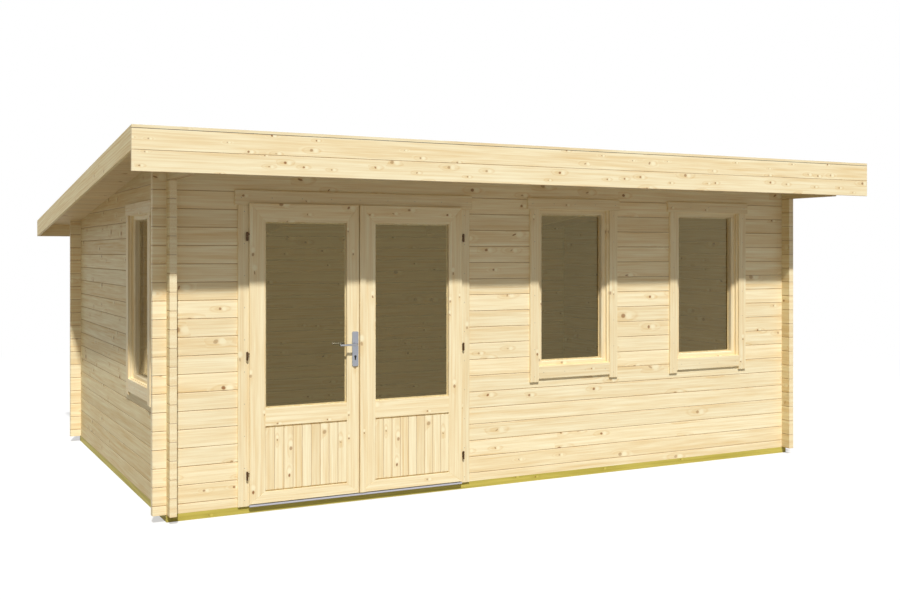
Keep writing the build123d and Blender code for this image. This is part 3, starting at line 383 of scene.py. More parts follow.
def add_knots(tree, given, shifted, row):
    """Masks of the knots, of their dark rims, of the grain round them and of the pale wood beside."""
    on_face = join(tree, times(tree, shifted, 0.8), row)
    cell = add_node(tree, "ShaderNodeTexVoronoi", voronoi_dimensions="2D", feature="F1")
    feed(tree, cell.inputs["Vector"], on_face)
    feed(tree, cell.inputs["Scale"], over(tree, 1.0, given["Knot Spacing"]))
    luck = split(tree, cell.outputs["Color"])
    there = calc(tree, "LESS_THAN", luck[0], given["Knots"])
    strength = times(tree, there, line(tree, luck[2], 0.55, 0.45))
    own_size = line(tree, calc(tree, "POWER", luck[1], 2.0), 1.6, 1.0)
    size = times(tree, own_size, given["Knot Size"])
    from_knot = vector_calc(tree, "SUBTRACT", on_face, cell.outputs["Position"])

    # A knot lies any way round, and is a disc or is drawn out to a slit
    turned = add_node(tree, "ShaderNodeVectorRotate", rotation_type="Z_AXIS")
    feed(tree, turned.inputs["Vector"], from_knot)
    feed(tree, turned.inputs["Angle"], times(tree, luck[1], 40.0))
    rank = over(tree, luck[0], calc(tree, "MAXIMUM", given["Knots"], 0.01))
    slit = calc(tree, "POWER", rank, 3.0)
    squeeze = join(tree, 1.0, line(tree, slit, 2.2, 1.0), 1.0)
    reach = stretched_length(tree, turned.outputs[0], squeeze)
    wobble = minus(tree, noise(tree, given["Vector"], 110.0, 2.0), 0.5)
    radius = over(tree, line(tree, wobble, 0.004, reach), size)
    knot = times(tree, strength, ramp(tree, radius, 1.25, 0.6))
    off_rim = calc(tree, "ABSOLUTE", minus(tree, radius, 0.95))
    rim = times(tree, strength, ramp(tree, off_rim, 0.3, 0.0))

    # The grain bends round it for a few times its own size, and wood on one side of it is pale
    drawn_out = over(tree, stretched_length(tree, from_knot, (0.4, 1.0, 1.0)), size)
    halo = times(tree, there, ramp(tree, drawn_out, 3.6, 0.9))
    beside = vector_calc(tree, "SUBTRACT", from_knot, join(tree, times(tree, size, 2.6)))
    patch = over(tree, vector_calc(tree, "LENGTH", beside), times(tree, size, 2.4))
    pale_patch = times(tree, there, ramp(tree, patch, 1.0, 0.3))
    return knot, rim, halo, pale_patch


def add_grain(tree, given, shifted, row, local, depth, chance, halo):
    """How much late wood shows: rings round a pith that wanders along the board, and fine streaks."""
    wander = noise(tree, join(tree, times(tree, shifted, 0.55), row))
    drift = times(tree, minus(tree, wander, 0.5), 0.09)
    pith_across = line(tree, minus(tree, chance[1], 0.5), 0.08, drift)
    from_pith = minus(tree, local, pith_across)
    deep = plus(tree, depth, line(tree, chance[2], 0.05, 0.03))
    squares = plus(tree, times(tree, from_pith, from_pith), times(tree, deep, deep))
    bent = line(tree, halo, 0.006, calc(tree, "SQRT", squares))
    ripple = times(tree, wood_noise(tree, shifted, 2.5, row, 24.0), 0.8)
    ring = plus(tree, over(tree, bent, given["Ring Spacing"]), ripple)
    wave = calc(tree, "SINE", times(tree, ring, 2.0 * math.pi))
    late = calc(tree, "POWER", line(tree, wave, 0.5, 0.5), 1.6)

    fibre_place = join(
        tree, times(tree, shifted, 2.2), times(tree, row, 160.0), times(tree, depth, 160.0)
    )
    fibre = noise(tree, fibre_place, detail=3.0, roughness=0.6)
    band = wood_noise(tree, shifted, 1.6, row, 48.0, detail=3.0, roughness=0.6)
    streaks = minus(tree, line(tree, band, 1.5, fibre), 0.97)
    return calc(tree, "ADD", times(tree, late, 0.3), streaks, clamp=True)


def build_timber_group():
    """Planed boards side by side: rings, fine streaks, knots and the dark joints between them."""
    tree, given, result = new_group(
        "planed timber",
        [
            ("Vector", "Vector", None),
            ("Board Width", "Float", LOG_HEIGHT),
            ("Board Start", "Float", 0.0),
            ("Pale", "Color", (1, 1, 1)),
            ("Late", "Color", (1, 1, 1)),
            ("Knot", "Color", (0, 0, 0)),
            ("Ring Spacing", "Float", 0.0042),
            ("Knot Spacing", "Float", 0.15),
            ("Knot Size", "Float", 0.005),
            ("Knots", "Float", 0.5),
            ("Tone", "Float", 0.1),
            ("Joint Width", "Float", 0.003),
            ("Seed", "Float", 0.0),
        ],
        [("Color", "Color", None), ("Roughness", "Float", None), ("Height", "Float", None)],
    )
    shifted, row, local, depth, chance = add_boards(tree, given)
    knot, rim, halo, pale_patch = add_knots(tree, given, shifted, row)
    grain = add_grain(tree, given, shifted, row, local, depth, chance, halo)
    wood = blend_colours(tree, grain, given["Pale"], given["Late"])
    warm = blend_colours(tree, times(tree, halo, 0.35), wood, given["Late"])
    patched = blend_colours(tree, times(tree, pale_patch, 0.85), warm, given["Pale"])
    knotted = blend_colours(tree, times(tree, knot, 0.9), patched, given["Knot"])
    rimmed = blend_colours(tree, times(tree, rim, 0.3), knotted, given["Knot"])

    # Each board is a little lighter or darker than the next, with a dark line where they meet
    tone = plus(tree, 1.0, times(tree, minus(tree, chance[1], 0.6), given["Tone"]))
    toned = shade_colour(tree, tone, rimmed)
    half_width = times(tree, given["Board Width"], 0.5)
    to_joint = minus(tree, half_width, calc(tree, "ABSOLUTE", local))
    core = times(tree, given["Joint Width"], 0.25)
    joint = ramp(tree, to_joint, given["Joint Width"], core)
    dark = blend_colours(tree, times(tree, joint, 0.5), toned, given["Knot"])

    feed(tree, result["Color"], dark)
    feed(tree, result["Roughness"], line(tree, grain, 0.12, 0.55))
    height = minus(tree, times(tree, grain, -0.6), times(tree, joint, 1.5))
    feed(tree, result["Height"], line(tree, rim, -0.8, height))
    return tree


def build_frame_group():
    """Turns a pattern so that it runs along the boards of a frame, which has heads and posts."""
    tree, given, result = new_group(
        "frame grain",
        [("Vector", "Vector", None), ("Low", "Float", 0.0), ("High", "Float", 10.0)],
        [("Vector", "Vector", None)],
    )
    x, y, z = split(tree, given["Vector"])
    along_wall = plus(tree, x, y)
    on_left_wall = calc(tree, "LESS_THAN", x, LEFT_WINDOW_LIMIT)
    level = plus(tree, z, times(tree, on_left_wall, LEFT_WINDOW_DROP))
    above = calc(tree, "GREATER_THAN", level, given["High"])
    below = calc(tree, "LESS_THAN", level, given["Low"])
    made = add_node(tree, "ShaderNodeMix", data_type="VECTOR")
    feed(tree, made.inputs[0], calc(tree, "MAXIMUM", above, below))
    feed(tree, made.inputs[4], join(tree, z, along_wall))
    feed(tree, made.inputs[5], join(tree, along_wall, z))
    feed(tree, result["Vector"], made.outputs[1])
    return tree


def build_metal_group():
    """Fine scratches along X, for brushed metal."""
    tree, given, result = new_group(
        "brushed metal",
        [("Vector", "Vector", None), ("Scale", "Float", 900.0), ("Colour", "Color", (1, 1, 1))],
        [("Color", "Color", None), ("Roughness", "Float", None), ("Height", "Float", None)],
    )
    x, y, z = split(tree, given["Vector"])
    drawn_out = join(tree, times(tree, x, 0.04), y, z)
    scratch = noise(tree, drawn_out, given["Scale"], 3.0, 0.7)
    smudge = noise(tree, given["Vector"], 25.0, 2.0)
    feed(tree, result["Color"], shade_colour(tree, line(tree, scratch, 0.16, 0.92), given["Colour"]))
    rough = line(tree, scratch, 0.18, 0.2)
    feed(tree, result["Roughness"], line(tree, smudge, 0.12, rough))
    feed(tree, result["Height"], scratch)
    return tree


GROUP_MAKERS = {
    "planed timber": build_timber_group,
    "frame grain": build_frame_group,
    "brushed metal": build_metal_group,
}


def place_group(tree, name, **values):
    """Put a shader group in a tree, building it first if it isn't there yet."""
    group = bpy.data.node_groups.get(name) or GROUP_MAKERS[name]()
    made = add_node(tree, "ShaderNodeGroup", node_tree=group)
    for socket_name, value in values.items():
        feed(tree, made.inputs[socket_name.replace("_", " ")], value)
    return made.outputs


def new_material(name):
    """An empty material with its surface shader, and the place on the piece to pattern it by."""
    material = bpy.data.materials.new(name)
    material.use_nodes = True
    tree = material.node_tree
    shader = next(n for n in tree.nodes if n.type == "BSDF_PRINCIPLED")
    place = add_node(tree, "ShaderNodeTexCoord").outputs["Object"]
    return material, tree, shader, place


def bump(tree, shader, height, strength, distance):
    made = add_node(tree, "ShaderNodeBump")
    feed(tree, made.inputs["Strength"], strength)
    feed(tree, made.inputs["Distance"], distance)
    feed(tree, made.inputs["Height"], height)
    feed(tree, shader.inputs["Normal"], made.outputs[0])


# Which way boards run: the order of the axes along them, across them and through them
ALONG_FRONT = "xzy"
ALONG_SIDE = "yzx"
UPRIGHT = "zxy"
FLAT = "xyz"
BEAMS_TO_BACK = "yxz"


def timber_material(
    name, run, board_width=WHOLE_WIDTH, board_start=WHOLE_START, treated=False, frame_levels=None,
    slope=0.0, **values
):
    """Planed pine for one kind of piece, with its grain along the boards."""
    timber = bpy.context.scene.summerhouse_timber
    material, tree, shader, place = new_material(name)
    if frame_levels:
        low, high = frame_levels
        vector = place_group(tree, "frame grain", Vector=place, Low=low, High=high)["Vector"]
    else:
        axes = dict(zip("xyz", split(tree, place)))
        if slope:
            axes["z"] = line(tree, axes["y"], slope, axes["z"])
        vector = join(tree, *(axes[axis] for axis in run))
        # Sawn ends, which face along the grain, have no knots and keep plain pine's colours, without the
        # painted shade of the darker side and roof copies
        facing = dict(zip("xyz", split(tree, place.node.outputs["Normal"])))[run[0]]
        long_grain = calc(tree, "LESS_THAN", calc(tree, "ABSOLUTE", facing), 0.7)
        values["Knots"] = times(tree, long_grain, values.get("Knots", timber.knot_share))
        for key, sawn in (("Pale", timber.pale_wood), ("Late", timber.late_wood)):
            if key in values:
                values[key] = blend_colours(tree, long_grain, tuple(sawn), values[key])
    settings = {
        "Board_Width": board_width,
        "Board_Start": board_start,
        "Pale": tuple(timber.treated_pale if treated else timber.pale_wood),
        "Late": tuple(timber.treated_late if treated else timber.late_wood),
        "Knot": tuple(timber.knot_wood),
        "Ring_Spacing": timber.ring_spacing,
        "Knot_Spacing": timber.knot_spacing,
        "Knot_Size": timber.knot_size,
        "Knots": timber.knot_share,
        "Tone": 0.14,
        "Joint_Width": 0.0,
    }
    settings.update(values)
    made = place_group(tree, "planed timber", Vector=vector, **settings)
    feed(tree, shader.inputs["Base Color"], made["Color"])
    feed(tree, shader.inputs["Roughness"], made["Roughness"])
    bump(tree, shader, made["Height"], strength=0.35, distance=0.0006)
    shader.inputs["Specular IOR Level"].default_value = 0.3
    return material


def metal_material(name, tint, scratch_scale=900.0, metallic=1.0):
    material, tree, shader, place = new_material(name)
    made = place_group(tree, "brushed metal", Vector=place, Scale=scratch_scale, Colour=tuple(tint))
    feed(tree, shader.inputs["Base Color"], made["Color"])
    feed(tree, shader.inputs["Roughness"], made["Roughness"])
    shader.inputs["Metallic"].default_value = metallic
    bump(tree, shader, made["Height"], strength=0.15, distance=0.0002)
    return material


def finish(names, material):
    """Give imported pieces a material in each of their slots."""
    for name in names:
        for slot in NODES[name].material_slots:
            slot.material = material


# Building new pieces
def new_piece(name, mesh, material, body):
    """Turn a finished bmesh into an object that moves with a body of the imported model."""
    data = bpy.data.meshes.new(name)
    bmesh.ops.recalc_face_normals(mesh, faces=mesh.faces)
    mesh.to_mesh(data)
    mesh.free()
    piece = bpy.data.objects.new(name, data)
    bpy.context.scene.collection.objects.link(piece)
    data.materials.append(material)
    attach(piece, body)
    return piece


def raised_vertices(raised):
    """The vertices that an extrusion made."""
    return [made for made in raised["geom"] if isinstance(made, bmesh.types.BMVert)]


def add_nail(mesh, place, outward, diameter, rise):
    """The low dome of a nail's head on a surface at place, which faces outward."""
    turn = Vector((0, 0, 1)).rotation_difference(Vector(outward)).to_matrix().to_4x4()
    matrix = Matrix.Translation(place) @ turn
    made = bmesh.ops.create_circle(
        mesh, cap_ends=True, segments=HEAD_SIDES, radius=diameter / 2, matrix=matrix
    )
    face = made["verts"][0].link_faces[0]
    top = raised_vertices(bmesh.ops.extrude_face_region(mesh, geom=[face]))
    bmesh.ops.translate(mesh, verts=top, vec=Vector(outward) * rise)
    centre = sum((v.co for v in top), Vector()) / len(top)
    for vertex in top:
        vertex.co = centre.lerp(vertex.co, HEAD_TAPER)


def solids_of(name):
    """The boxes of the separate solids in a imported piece, in order of place."""
    mesh = bmesh.new()
    mesh.from_mesh(NODES[name].data)
    bmesh.ops.remove_doubles(mesh, verts=mesh.verts, dist=0.00001)
    waiting = set(mesh.verts)
    boxes = []
    while waiting:
        found = {waiting.pop()}
        to_follow = list(found)
        while to_follow:
            vertex = to_follow.pop()
            for edge in vertex.link_edges:
                other = edge.other_vert(vertex)
                if other not in found:
                    found.add(other)
                    to_follow.append(other)
        waiting -= found
        corners = [v.co for v in found]
        low = Vector(min(c[axis] for c in corners) for axis in range(3))
        high = Vector(max(c[axis] for c in corners) for axis in range(3))
        boxes.append((low, high))
    mesh.free()
    return sorted(boxes, key=lambda box: tuple(round(value, 4) for value in box[0]))


def roof_slope():
    """How far the roof falls for each metre towards the back."""
    low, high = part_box("roof_felt")
    thickness = bpy.context.scene.summerhouse_roof.sheet_thickness
    return (high.z - low.z - thickness) / (high.y - low.y)


def wall_axes(low, high):
    """For a thin upright board or pane: its run along the wall, and the way out of the wall."""
    if high.y - low.y < high.x - low.x:
        return Vector((1, 0, 0)), Vector((0, -1, 0))
    return Vector((0, -1, 0)), Vector((-1, 0, 0))


def add_bead_ring(mesh, low, high, width, depth):
    """Four mitred beads round the inner face of a pane, with their inner corners rounded."""
    along, outward = wall_axes(low, high)
    size = high - low
    span = abs(along.dot(size))
    grid = bmesh.ops.create_grid(mesh, x_segments=1, y_segments=1, size=0.5)
    bmesh.ops.scale(mesh, verts=grid["verts"], vec=(span, size.z, 1))
    face = grid["verts"][0].link_faces[0]
    ring = bmesh.ops.inset_region(
        mesh, faces=[face], thickness=width, use_even_offset=True, use_boundary=True
    )["faces"]
    bmesh.ops.delete(mesh, geom=[face], context="FACES_ONLY")
    top = raised_vertices(bmesh.ops.extrude_face_region(mesh, geom=ring, use_keep_orig=True))
    bmesh.ops.translate(mesh, verts=top, vec=(0, 0, depth))
    reach_x = (span - width) / 2
    reach_y = (size.z - width) / 2
    inner = [v for v in top if abs(v.co.x) < reach_x and abs(v.co.y) < reach_y]
    edges = {edge for v in inner for edge in v.link_edges if edge.other_vert(v) in inner}
    made = bmesh.ops.bevel(
        mesh, geom=list(edges), offset=width * 0.6, affect="EDGES", segments=3, profile=0.5, material=-1
    )
    points = {v for f in ring for v in f.verts} | {v for v in top if v.is_valid} | set(made["verts"])
    centre = (low + high) / 2 - outward * abs(outward.dot(size)) / 2
    turn = Matrix((along, (0, 0, 1), -outward)).transposed().to_4x4()
    bmesh.ops.transform(mesh, verts=list(points), matrix=Matrix.Translation(centre) @ turn)


def spaced(low, high, spacing, margin):
    """Places for nails between two ends, as evenly spaced as they can be."""
    count = max(2, round((high - low - 2 * margin) / spacing) + 1)
    step = (high - low - 2 * margin) / (count - 1)
    return [low + margin + step * number for number in range(count)]


class SummerhouseOperator:
    """What all the operators of the summerhouse share."""

    bl_options = {"REGISTER", "UNDO"}


class SUMMERHOUSE_OT_walls(SummerhouseOperator, bpy.types.Operator):
    """Finish the log walls, whose front and side courses stand half a log apart"""

    bl_idname = "summerhouse.walls"
    bl_label = "Log walls"

    def execute(self, context):
        timber = context.scene.summerhouse_timber
        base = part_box("left_wall")[0].z
        logs = {
            "board_width": timber.log_height,
            "Joint_Width": timber.joint_width,
            "Tone": 0.1,
            "Knot_Size": timber.log_knot_size,
        }
        front = timber_material(
            "front_and_back_logs", ALONG_FRONT, board_start=base + timber.log_height / 2, Seed=3.0, **logs
        )
        # The side walls take the darker copies of the pine, as painted shade
        sides = timber_material(
            "side_logs_painted_shade", ALONG_SIDE, board_start=base, Seed=71.0, Pale=tuple(timber.side_pale_painted_shade),
            Late=tuple(timber.side_late_painted_shade), **logs
        )
        finish(("front_wall_left", "front_wall_over_door", "front_wall_right", "back_wall"), front)
        finish(("left_wall", "right_wall"), sides)
        return {"FINISHED"}


class SUMMERHOUSE_OT_base(SummerhouseOperator, bpy.types.Operator):
    """Finish the treated foundation beams, the joists and the floor"""

    bl_idname = "summerhouse.base"
    bl_label = "Foundation and floor"

    def execute(self, context):
        beams = timber_material("treated_beams", ALONG_FRONT, treated=True, Knots=0.25, Seed=5.0)
        beams_back = timber_material("treated_side_beams", ALONG_SIDE, treated=True, Knots=0.25, Seed=6.0)
        boards = timber_material(
            "floor_boarding", FLAT, board_width=FLOOR_BOARD_WIDTH, board_start=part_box("floor_boards")[0].y,
            Joint_Width=BOARDING_JOINT, Seed=9.0,
        )
        finish(("foundation_front_back_beams",), beams)
        finish(("foundation_side_beams", "floor_joists"), beams_back)
        finish(("floor_boards",), boards)
        return {"FINISHED"}


class SUMMERHOUSE_OT_roof_timber(SummerhouseOperator, bpy.types.Operator):
    """Finish the roof boards, rafters, fascias and edge strips"""

    bl_idname = "summerhouse.roof_timber"
    bl_label = "Roof timber"

    def execute(self, context):
        timber = context.scene.summerhouse_timber
        slope = roof_slope()
        # The roof boards, seen only from below, take the darker copies of the pine as painted shade on the
        # soffit
        boards = timber_material(
            "roof_boarding_painted_shade", FLAT, board_width=ROOF_BOARD_WIDTH, board_start=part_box("roof_boards")[0].y,
            Joint_Width=BOARDING_JOINT, Seed=21.0, Pale=tuple(timber.roof_pale_painted_shade),
            Late=tuple(timber.roof_late_painted_shade),
        )
        rafters = timber_material("rafter_timber", BEAMS_TO_BACK, slope=slope, Seed=31.0)
        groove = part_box("front_fascia")[0].z + FASCIA_BOARD_HEIGHT
        front = timber_material(
            "front_fascia_boards", ALONG_FRONT, board_width=FASCIA_BOARD_HEIGHT, board_start=groove,
            Joint_Width=FINE_JOINT, Seed=44.0, Tone=0.05, Knots=0.6, Knot_Spacing=0.11, Knot_Size=0.004,
        )
        back = timber_material("back_fascia_board", ALONG_FRONT, Seed=52.0)
        # The side fascias take the darker copies of the pine, as painted shade
        side = timber_material(
            "side_fascia_boards_painted_shade", ALONG_SIDE, slope=slope, Seed=57.0, Pale=tuple(timber.side_pale_painted_shade),
            Late=tuple(timber.side_late_painted_shade),
        )
        strips = timber_material("edge_strip_timber", FLAT, Seed=61.0, Knots=0.2)
        finish(("roof_boards",), boards)
        finish(("rafters",), rafters)
        finish(("front_fascia",), front)
        finish(("back_fascia",), back)
        finish(("side_fascias",), side)
        finish(("roof_edge_strips",), strips)
        return {"FINISHED"}


class SUMMERHOUSE_OT_joinery(SummerhouseOperator, bpy.types.Operator):
    """Finish the frames, linings, casings and sashes of the door and the windows"""

    bl_idname = "summerhouse.joinery"
    bl_label = "Frames and casings"

    def execute(self, context):
        upright = timber_material(
            "upright_casings", UPRIGHT, frame_levels=ALL_UPRIGHT, Seed=11.0, Knots=0.35
        )
        lying = timber_material(
            "lying_casings", ALONG_FRONT, frame_levels=ALL_LYING, Seed=12.0, Knots=0.35
        )
        finish(("door_side_casings", "window_side_casings"), upright)
        finish(("door_head_casing", "window_head_casings", "window_aprons"), lying)
        levels = {
            "door_frame": (BELOW_ALL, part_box("door_side_casings")[1].z),
            "door_inner_casing": (BELOW_ALL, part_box("door_inner_casing")[1].z - INNER_CASING_BOARD),
        }
        for name, (sill, head) in WINDOW_RING_BOARDS.items():
            low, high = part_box(name)
            levels[name] = (low.z + LEFT_WINDOW_DROP + sill, high.z - head)
        for number, (name, between) in enumerate(levels.items()):
            material = timber_material(
                name + "_timber", UPRIGHT, frame_levels=between, Seed=80.0 + number, Knots=0.3
            )
            finish((name,), material)
        return {"FINISHED"}


class SUMMERHOUSE_OT_door_leaves(SummerhouseOperator, bpy.types.Operator):
    """Finish both leaves of the door, with upright stiles and panels and lying rails"""

    bl_idname = "summerhouse.door_leaves"
    bl_label = "Door leaves"

    def execute(self, context):
        stiles = timber_material("leaf_stile_timber", UPRIGHT, Seed=91.0, Knots=0.45, Knot_Spacing=0.12)
        rails = timber_material("leaf_rail_timber", ALONG_FRONT, Seed=92.0, Knots=0.45, Knot_Spacing=0.12)
        finish(("left_leaf_stiles", "right_leaf_stiles", "meeting_cover_strip"), stiles)
        finish(("left_leaf_rails", "right_leaf_rails"), rails)
        for name in ("left_leaf_panel", "right_leaf_panel"):
            low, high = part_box(name)
            panel = timber_material(
                name + "_boards", UPRIGHT, board_width=(high.x - low.x) / PANEL_BOARDS,
                board_start=low.x, Joint_Width=FINE_JOINT, Seed=94.0, Tone=0.04, Knots=0.28,
            )
            finish((name,), panel)
        return {"FINISHED"}


class SUMMERHOUSE_OT_glass(SummerhouseOperator, bpy.types.Operator):
    """Glaze the door and the windows"""

    bl_idname = "summerhouse.glass"
    bl_label = "Glass"

    def execute(self, context):
        glazing = context.scene.summerhouse_glazing
        material, tree, shader, place = new_material("window_glass")
        smears = noise(tree, place, 3.5, 3.0)
        feed(tree, shader.inputs["Roughness"], times(tree, smears, 0.03))
        # Brown tint and brown mirror colour: painted reflection of surroundings that the stage doesn't have
        feed(tree, shader.inputs["Base Color"], tuple(glazing.tint))
        feed(tree, shader.inputs["Specular Tint"], tuple(glazing.painted_reflection_tint))
        shader.inputs["Transmission Weight"].default_value = 1.0
        shader.inputs["IOR"].default_value = 1.6
        # Daylight passes straight through the panes, a little dimmed, and lights the room
        clear = add_node(tree, "ShaderNodeBsdfTransparent")
        feed(tree, clear.inputs["Color"], (0.9, 0.9, 0.9))
        rays = add_node(tree, "ShaderNodeLightPath").outputs
        passing = calc(tree, "MAXIMUM", rays["Is Shadow Ray"], rays["Is Diffuse Ray"])
        mix_surfaces(tree, passing, shader, clear)
        finish(("left_leaf_pane", "right_leaf_pane", "window_panes"), material)
        return {"FINISHED"}


class SUMMERHOUSE_OT_ironmongery(SummerhouseOperator, bpy.types.Operator):
    """Finish the hinges, the door handle and the threshold"""

    bl_idname = "summerhouse.ironmongery"
    bl_label = "Ironmongery"

    def execute(self, context):
        fixings = context.scene.summerhouse_fixings
        hinges = metal_material("bronze_hinges", fixings.hinge_colour, 500.0, 0.6)
        handle = metal_material("satin_handle", fixings.handle_colour)
        threshold = metal_material("anodised_threshold", fixings.threshold_colour, 600.0, 0.8)
        finish(("frame_hinges", "left_leaf_hinges", "right_leaf_hinges"), hinges)
        finish(("handle_plates", "lever_handle"), handle)
        finish(("door_threshold",), threshold)
        self.fit_lock(fixings, handle)
        return {"FINISHED"}

    @staticmethod
    def fit_lock(fixings, handle):
        """A lock barrel and a key slot at the bottom of each keyhole, coloured dark as painted shade in the
        keyhole, and a screw at each end of both plates.
        """
        dark = metal_material("lock_painted_shade", fixings.lock_painted_shade_colour, 500.0, 0.4)
        locks = bmesh.new()
        screws = bmesh.new()
        outer, inner = solids_of("handle_plates")
        for (low, high), face, facing in ((outer, outer[0].y, -1), (inner, inner[1].y, 1)):
            x = (low.x + high.x) / 2
            centre = Vector((x, face - facing * LOCK_DEPTH, low.z + fixings.keyhole_rise))
            turn = Matrix.Rotation(math.pi / 2, 4, "X")
            barrel = Matrix.Translation(centre + Vector((0, 0, LOCK_RISE))) @ turn
            bmesh.ops.create_cone(
                locks, cap_ends=True, segments=24, radius1=LOCK_RADIUS, radius2=LOCK_RADIUS,
                depth=LOCK_THICKNESS, matrix=barrel,
            )
            below = Matrix.Translation(centre - Vector((0, 0, KEY_SLOT_DROP)))
            bmesh.ops.create_cube(locks, size=1.0, matrix=below @ Matrix.Diagonal((*KEY_SLOT, 1)))
            for z in (low.z + SCREW_FROM_END, high.z - SCREW_FROM_END):
                add_nail(screws, Vector((x, face, z)), (0, facing, 0), fixings.screw_head, SCREW_RISE)
        new_piece("lock_cylinders", locks, dark, "left_leaf")
        new_piece("plate_screws", screws, handle, "left_leaf")


class SUMMERHOUSE_OT_nails(SummerhouseOperator, bpy.types.Operator):
    """Nail the casings to the walls"""

    bl_idname = "summerhouse.nails"
    bl_label = "Casing nails"

    def execute(self, context):
        fixings = context.scene.summerhouse_fixings
        zinc = metal_material("zinc_nails", fixings.zinc_colour, 1500.0, 0.7)
        mesh = bmesh.new()
        for name in (
            "door_side_casings",
            "door_head_casing",
            "window_side_casings",
            "window_head_casings",
            "window_aprons",
        ):
            for low, high in solids_of(name):
                self.nail_board(mesh, low, high, fixings)
        new_piece("casing_nails", mesh, zinc, "cabin")
        return {"FINISHED"}

    @staticmethod
    def nail_board(mesh, low, high, fixings):
        """A row of nails along the middle of a casing board."""
        along, outward = wall_axes(low, high)
        size = high - low
        face = (low + high) / 2 + outward * abs(outward.dot(size)) / 2
        width = abs(along.dot(size))
        length_of_board, run = (width, along) if width > size.z else (size.z, Vector((0, 0, 1)))
        end = length_of_board / 2
        for step in spaced(-end, end, fixings.nail_spacing, fixings.end_distance):
            add_nail(mesh, face + run * step, outward, fixings.nail_head, fixings.nail_rise)


class SUMMERHOUSE_OT_felt(SummerhouseOperator, bpy.types.Operator):
    """Lay the roof felt in lapped strips, after the casings are nailed"""

    bl_idname = "summerhouse.felt"
    bl_label = "Roof felt"

    def execute(self, context):
        roof = context.scene.summerhouse_roof
        material, tree, shader, place = new_material("mineral_felt")
        grit = noise(tree, place, 420.0, 2.0, 0.7)
        patches = noise(tree, place, 2.5, 3.0)
        shade = plus(tree, line(tree, grit, 0.9, 0.4), times(tree, patches, 0.3))
        feed(tree, shader.inputs["Base Color"], shade_colour(tree, shade, tuple(roof.felt_colour)))
        feed(tree, shader.inputs["Roughness"], line(tree, grit, 0.15, 0.8))
        bump(tree, shader, grit, strength=0.6, distance=0.001)
        finish(("roof_felt",), material)
        self.lay_strips(roof, material)
        return {"FINISHED"}

    @staticmethod
    def lay_strips(roof, material):
        """Strips across the slope, each lapped over the one below it and nailed along the lap."""
        low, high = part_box("roof_felt")
        left = low.x + FELT_EDGE
        right = high.x - FELT_EDGE
        front = low.y + FELT_EDGE
        back = high.y - FELT_EDGE
        thickness = roof.sheet_thickness
        slope = roof_slope()
        strips = bmesh.new()
        nails = bmesh.new()
        lowest = back
        while lowest > front + roof.sheet_lap:
            highest = max(lowest - roof.sheet_width, front)
            grid = bmesh.ops.create_grid(strips, x_segments=8, y_segments=24, size=0.5)
            for vertex in grid["verts"]:
                x = vertex.co.x * (right - left)
                y = lowest + (vertex.co.y - 0.5) * (lowest - highest)
                on_lap = lowest < back and y > lowest - roof.sheet_lap
                level = high.z - slope * (y - low.y) + (thickness if on_lap else 0.0)
                vertex.co = (x, y, level + thickness)
            faces = list({face for vertex in grid["verts"] for face in vertex.link_faces})
            bmesh.ops.solidify(strips, geom=faces, thickness=thickness)
            if lowest < back:
                y = lowest - roof.sheet_lap * FELT_NAIL_SHARE
                level = high.z - slope * (y - low.y) + 2 * thickness
                for x in spaced(left, right, roof.nail_spacing, FELT_NAIL_MARGIN):
                    add_nail(nails, Vector((x, y, level)), (0, slope, 1), roof.nail_head, FELT_NAIL_RISE)
            lowest -= roof.sheet_width - roof.sheet_lap
        new_piece("felt_strips", strips, material, "cabin")
        zinc = bpy.data.materials["zinc_nails"]
        new_piece("felt_nails", nails, zinc, "cabin")


class SUMMERHOUSE_OT_beads(SummerhouseOperator, bpy.types.Operator):
    """Hold the panes with beads on their inner faces"""

    bl_idname = "summerhouse.beads"
    bl_label = "Glazing beads"

    def execute(self, context):
        glazing = context.scene.summerhouse_glazing
        timber = timber_material("bead_timber", UPRIGHT, frame_levels=ALL_UPRIGHT, Seed=99.0, Knots=0.0)
        for node, body in (
            ("left_leaf_pane", "left_leaf"),
            ("right_leaf_pane", "right_leaf"),
            ("window_panes", "cabin"),
        ):
            mesh = bmesh.new()
            for low, high in solids_of(node):
                add_bead_ring(mesh, low, high, glazing.bead_width, glazing.bead_depth)
            new_piece(node.replace("pane", "bead"), mesh, timber, body)
        return {"FINISHED"}


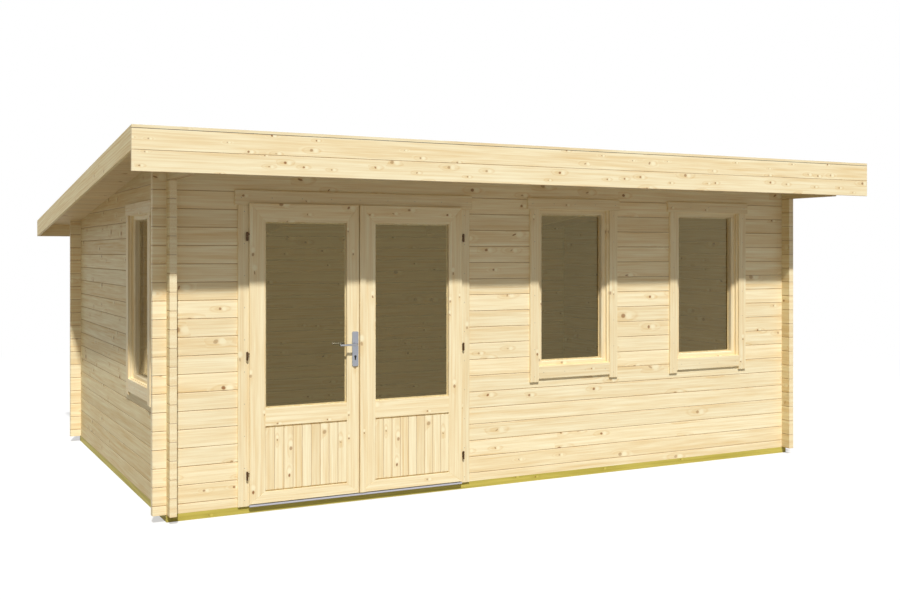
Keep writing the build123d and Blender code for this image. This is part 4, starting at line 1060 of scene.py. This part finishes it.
class SUMMERHOUSE_OT_stage(SummerhouseOperator, bpy.types.Operator):
    """Set up the pale floor, the soft light and the camera of the photograph"""

    bl_idname = "summerhouse.stage"
    bl_label = "Stage"

    def execute(self, context):
        stage = context.scene.summerhouse_stage
        self.lay_floor(stage)
        self.light(context.scene, stage)
        self.place_camera(context.scene)
        return {"FINISHED"}

    @staticmethod
    def lay_floor(stage):
        """A floor that looks white but throws back little light, and fades into the white around it."""
        material, tree, shader, place = new_material("studio_floor")
        seen = seen_directly(tree)
        paint = blend_colours(tree, seen, tuple(stage.floor_bounce), tuple(stage.floor_colour))
        feed(tree, shader.inputs["Base Color"], paint)
        shader.inputs["Roughness"].default_value = 0.9
        shader.inputs["Specular IOR Level"].default_value = 0.0
        distance = vector_calc(tree, "LENGTH", place)
        far = times(tree, ramp(tree, distance, FLOOR_FADE, FLOOR_WHITE, 0.5, 1.0), seen)
        mix_surfaces(tree, far, shader, add_node(tree, "ShaderNodeEmission"))
        mesh = bmesh.new()
        bmesh.ops.create_grid(mesh, x_segments=1, y_segments=1, size=stage.floor_size / 2)
        data = bpy.data.meshes.new("floor")
        mesh.to_mesh(data)
        mesh.free()
        floor = bpy.data.objects.new("floor", data)
        bpy.context.scene.collection.objects.link(floor)
        data.materials.append(material)

    @staticmethod
    def light(scene, stage):
        """One soft lamp from the front left, and an even fill that the camera sees as white."""
        lamp = bpy.data.lights.new("main_lamp", "SUN")
        lamp.energy = stage.sun_strength
        lamp.angle = stage.sun_softness
        sun = bpy.data.objects.new("main_lamp", lamp)
        sun.rotation_euler = (math.pi / 2 - stage.sun_height, 0.0, -stage.sun_side)
        scene.collection.objects.link(sun)
        world = bpy.data.worlds.new("studio")
        world.use_nodes = True
        scene.world = world
        tree = world.node_tree
        background = next(n for n in tree.nodes if n.type == "BACKGROUND")
        strength = line(tree, seen_directly(tree), 1.0 - stage.fill_strength, stage.fill_strength)
        feed(tree, background.inputs["Color"], (1.0, 1.0, 1.0))
        feed(tree, background.inputs["Strength"], strength)
        scene.view_settings.view_transform = "Standard"

    @staticmethod
    def place_camera(scene):
        """The camera at the photograph's viewing angle, which its shift frames without a tilt."""
        lens = bpy.data.cameras.new("camera")
        lens.lens = CAMERA_LENS
        lens.sensor_width = CAMERA_SENSOR
        lens.shift_y = CAMERA_SHIFT
        lens.clip_end = CAMERA_REACH
        camera = bpy.data.objects.new("camera", lens)
        camera.location = CAMERA_PLACE
        camera.rotation_euler = (math.pi / 2, 0.0, -CAMERA_TURN)
        scene.collection.objects.link(camera)
        scene.camera = camera


OPERATORS = (
    SUMMERHOUSE_OT_walls,
    SUMMERHOUSE_OT_base,
    SUMMERHOUSE_OT_roof_timber,
    SUMMERHOUSE_OT_joinery,
    SUMMERHOUSE_OT_door_leaves,
    SUMMERHOUSE_OT_glass,
    SUMMERHOUSE_OT_ironmongery,
    SUMMERHOUSE_OT_nails,
    SUMMERHOUSE_OT_felt,
    SUMMERHOUSE_OT_beads,
    SUMMERHOUSE_OT_stage,
)


class SUMMERHOUSE_PT_sidebar(bpy.types.Panel):
    """The settings and steps of the summerhouse"""

    bl_idname = "SUMMERHOUSE_PT_sidebar"
    bl_label = "Summerhouse"
    bl_space_type = "VIEW_3D"
    bl_region_type = "UI"
    bl_category = "Summerhouse"

    def draw(self, context):
        for name, settings in SETTINGS.items():
            box = self.layout.box()
            for field in settings.__annotations__:
                box.prop(getattr(context.scene, name), field)
        for operator in OPERATORS:
            self.layout.operator(operator.bl_idname)


def register():
    for settings_name, settings in SETTINGS.items():
        bpy.utils.register_class(settings)
        setattr(bpy.types.Scene, settings_name, bpy.props.PointerProperty(type=settings))
    for operator in OPERATORS:
        bpy.utils.register_class(operator)
    bpy.utils.register_class(SUMMERHOUSE_PT_sidebar)


def unregister():
    bpy.utils.unregister_class(SUMMERHOUSE_PT_sidebar)
    for operator in reversed(OPERATORS):
        bpy.utils.unregister_class(operator)
    for settings_name, settings in reversed(SETTINGS.items()):
        delattr(bpy.types.Scene, settings_name)
        bpy.utils.unregister_class(settings)


def main():
    register()
    bpy.ops.summerhouse.walls()
    bpy.ops.summerhouse.base()
    bpy.ops.summerhouse.roof_timber()
    bpy.ops.summerhouse.joinery()
    bpy.ops.summerhouse.door_leaves()
    bpy.ops.summerhouse.glass()
    bpy.ops.summerhouse.ironmongery()
    bpy.ops.summerhouse.nails()
    bpy.ops.summerhouse.felt()
    bpy.ops.summerhouse.beads()
    bpy.ops.summerhouse.stage()


if __name__ == "__main__":
    main()
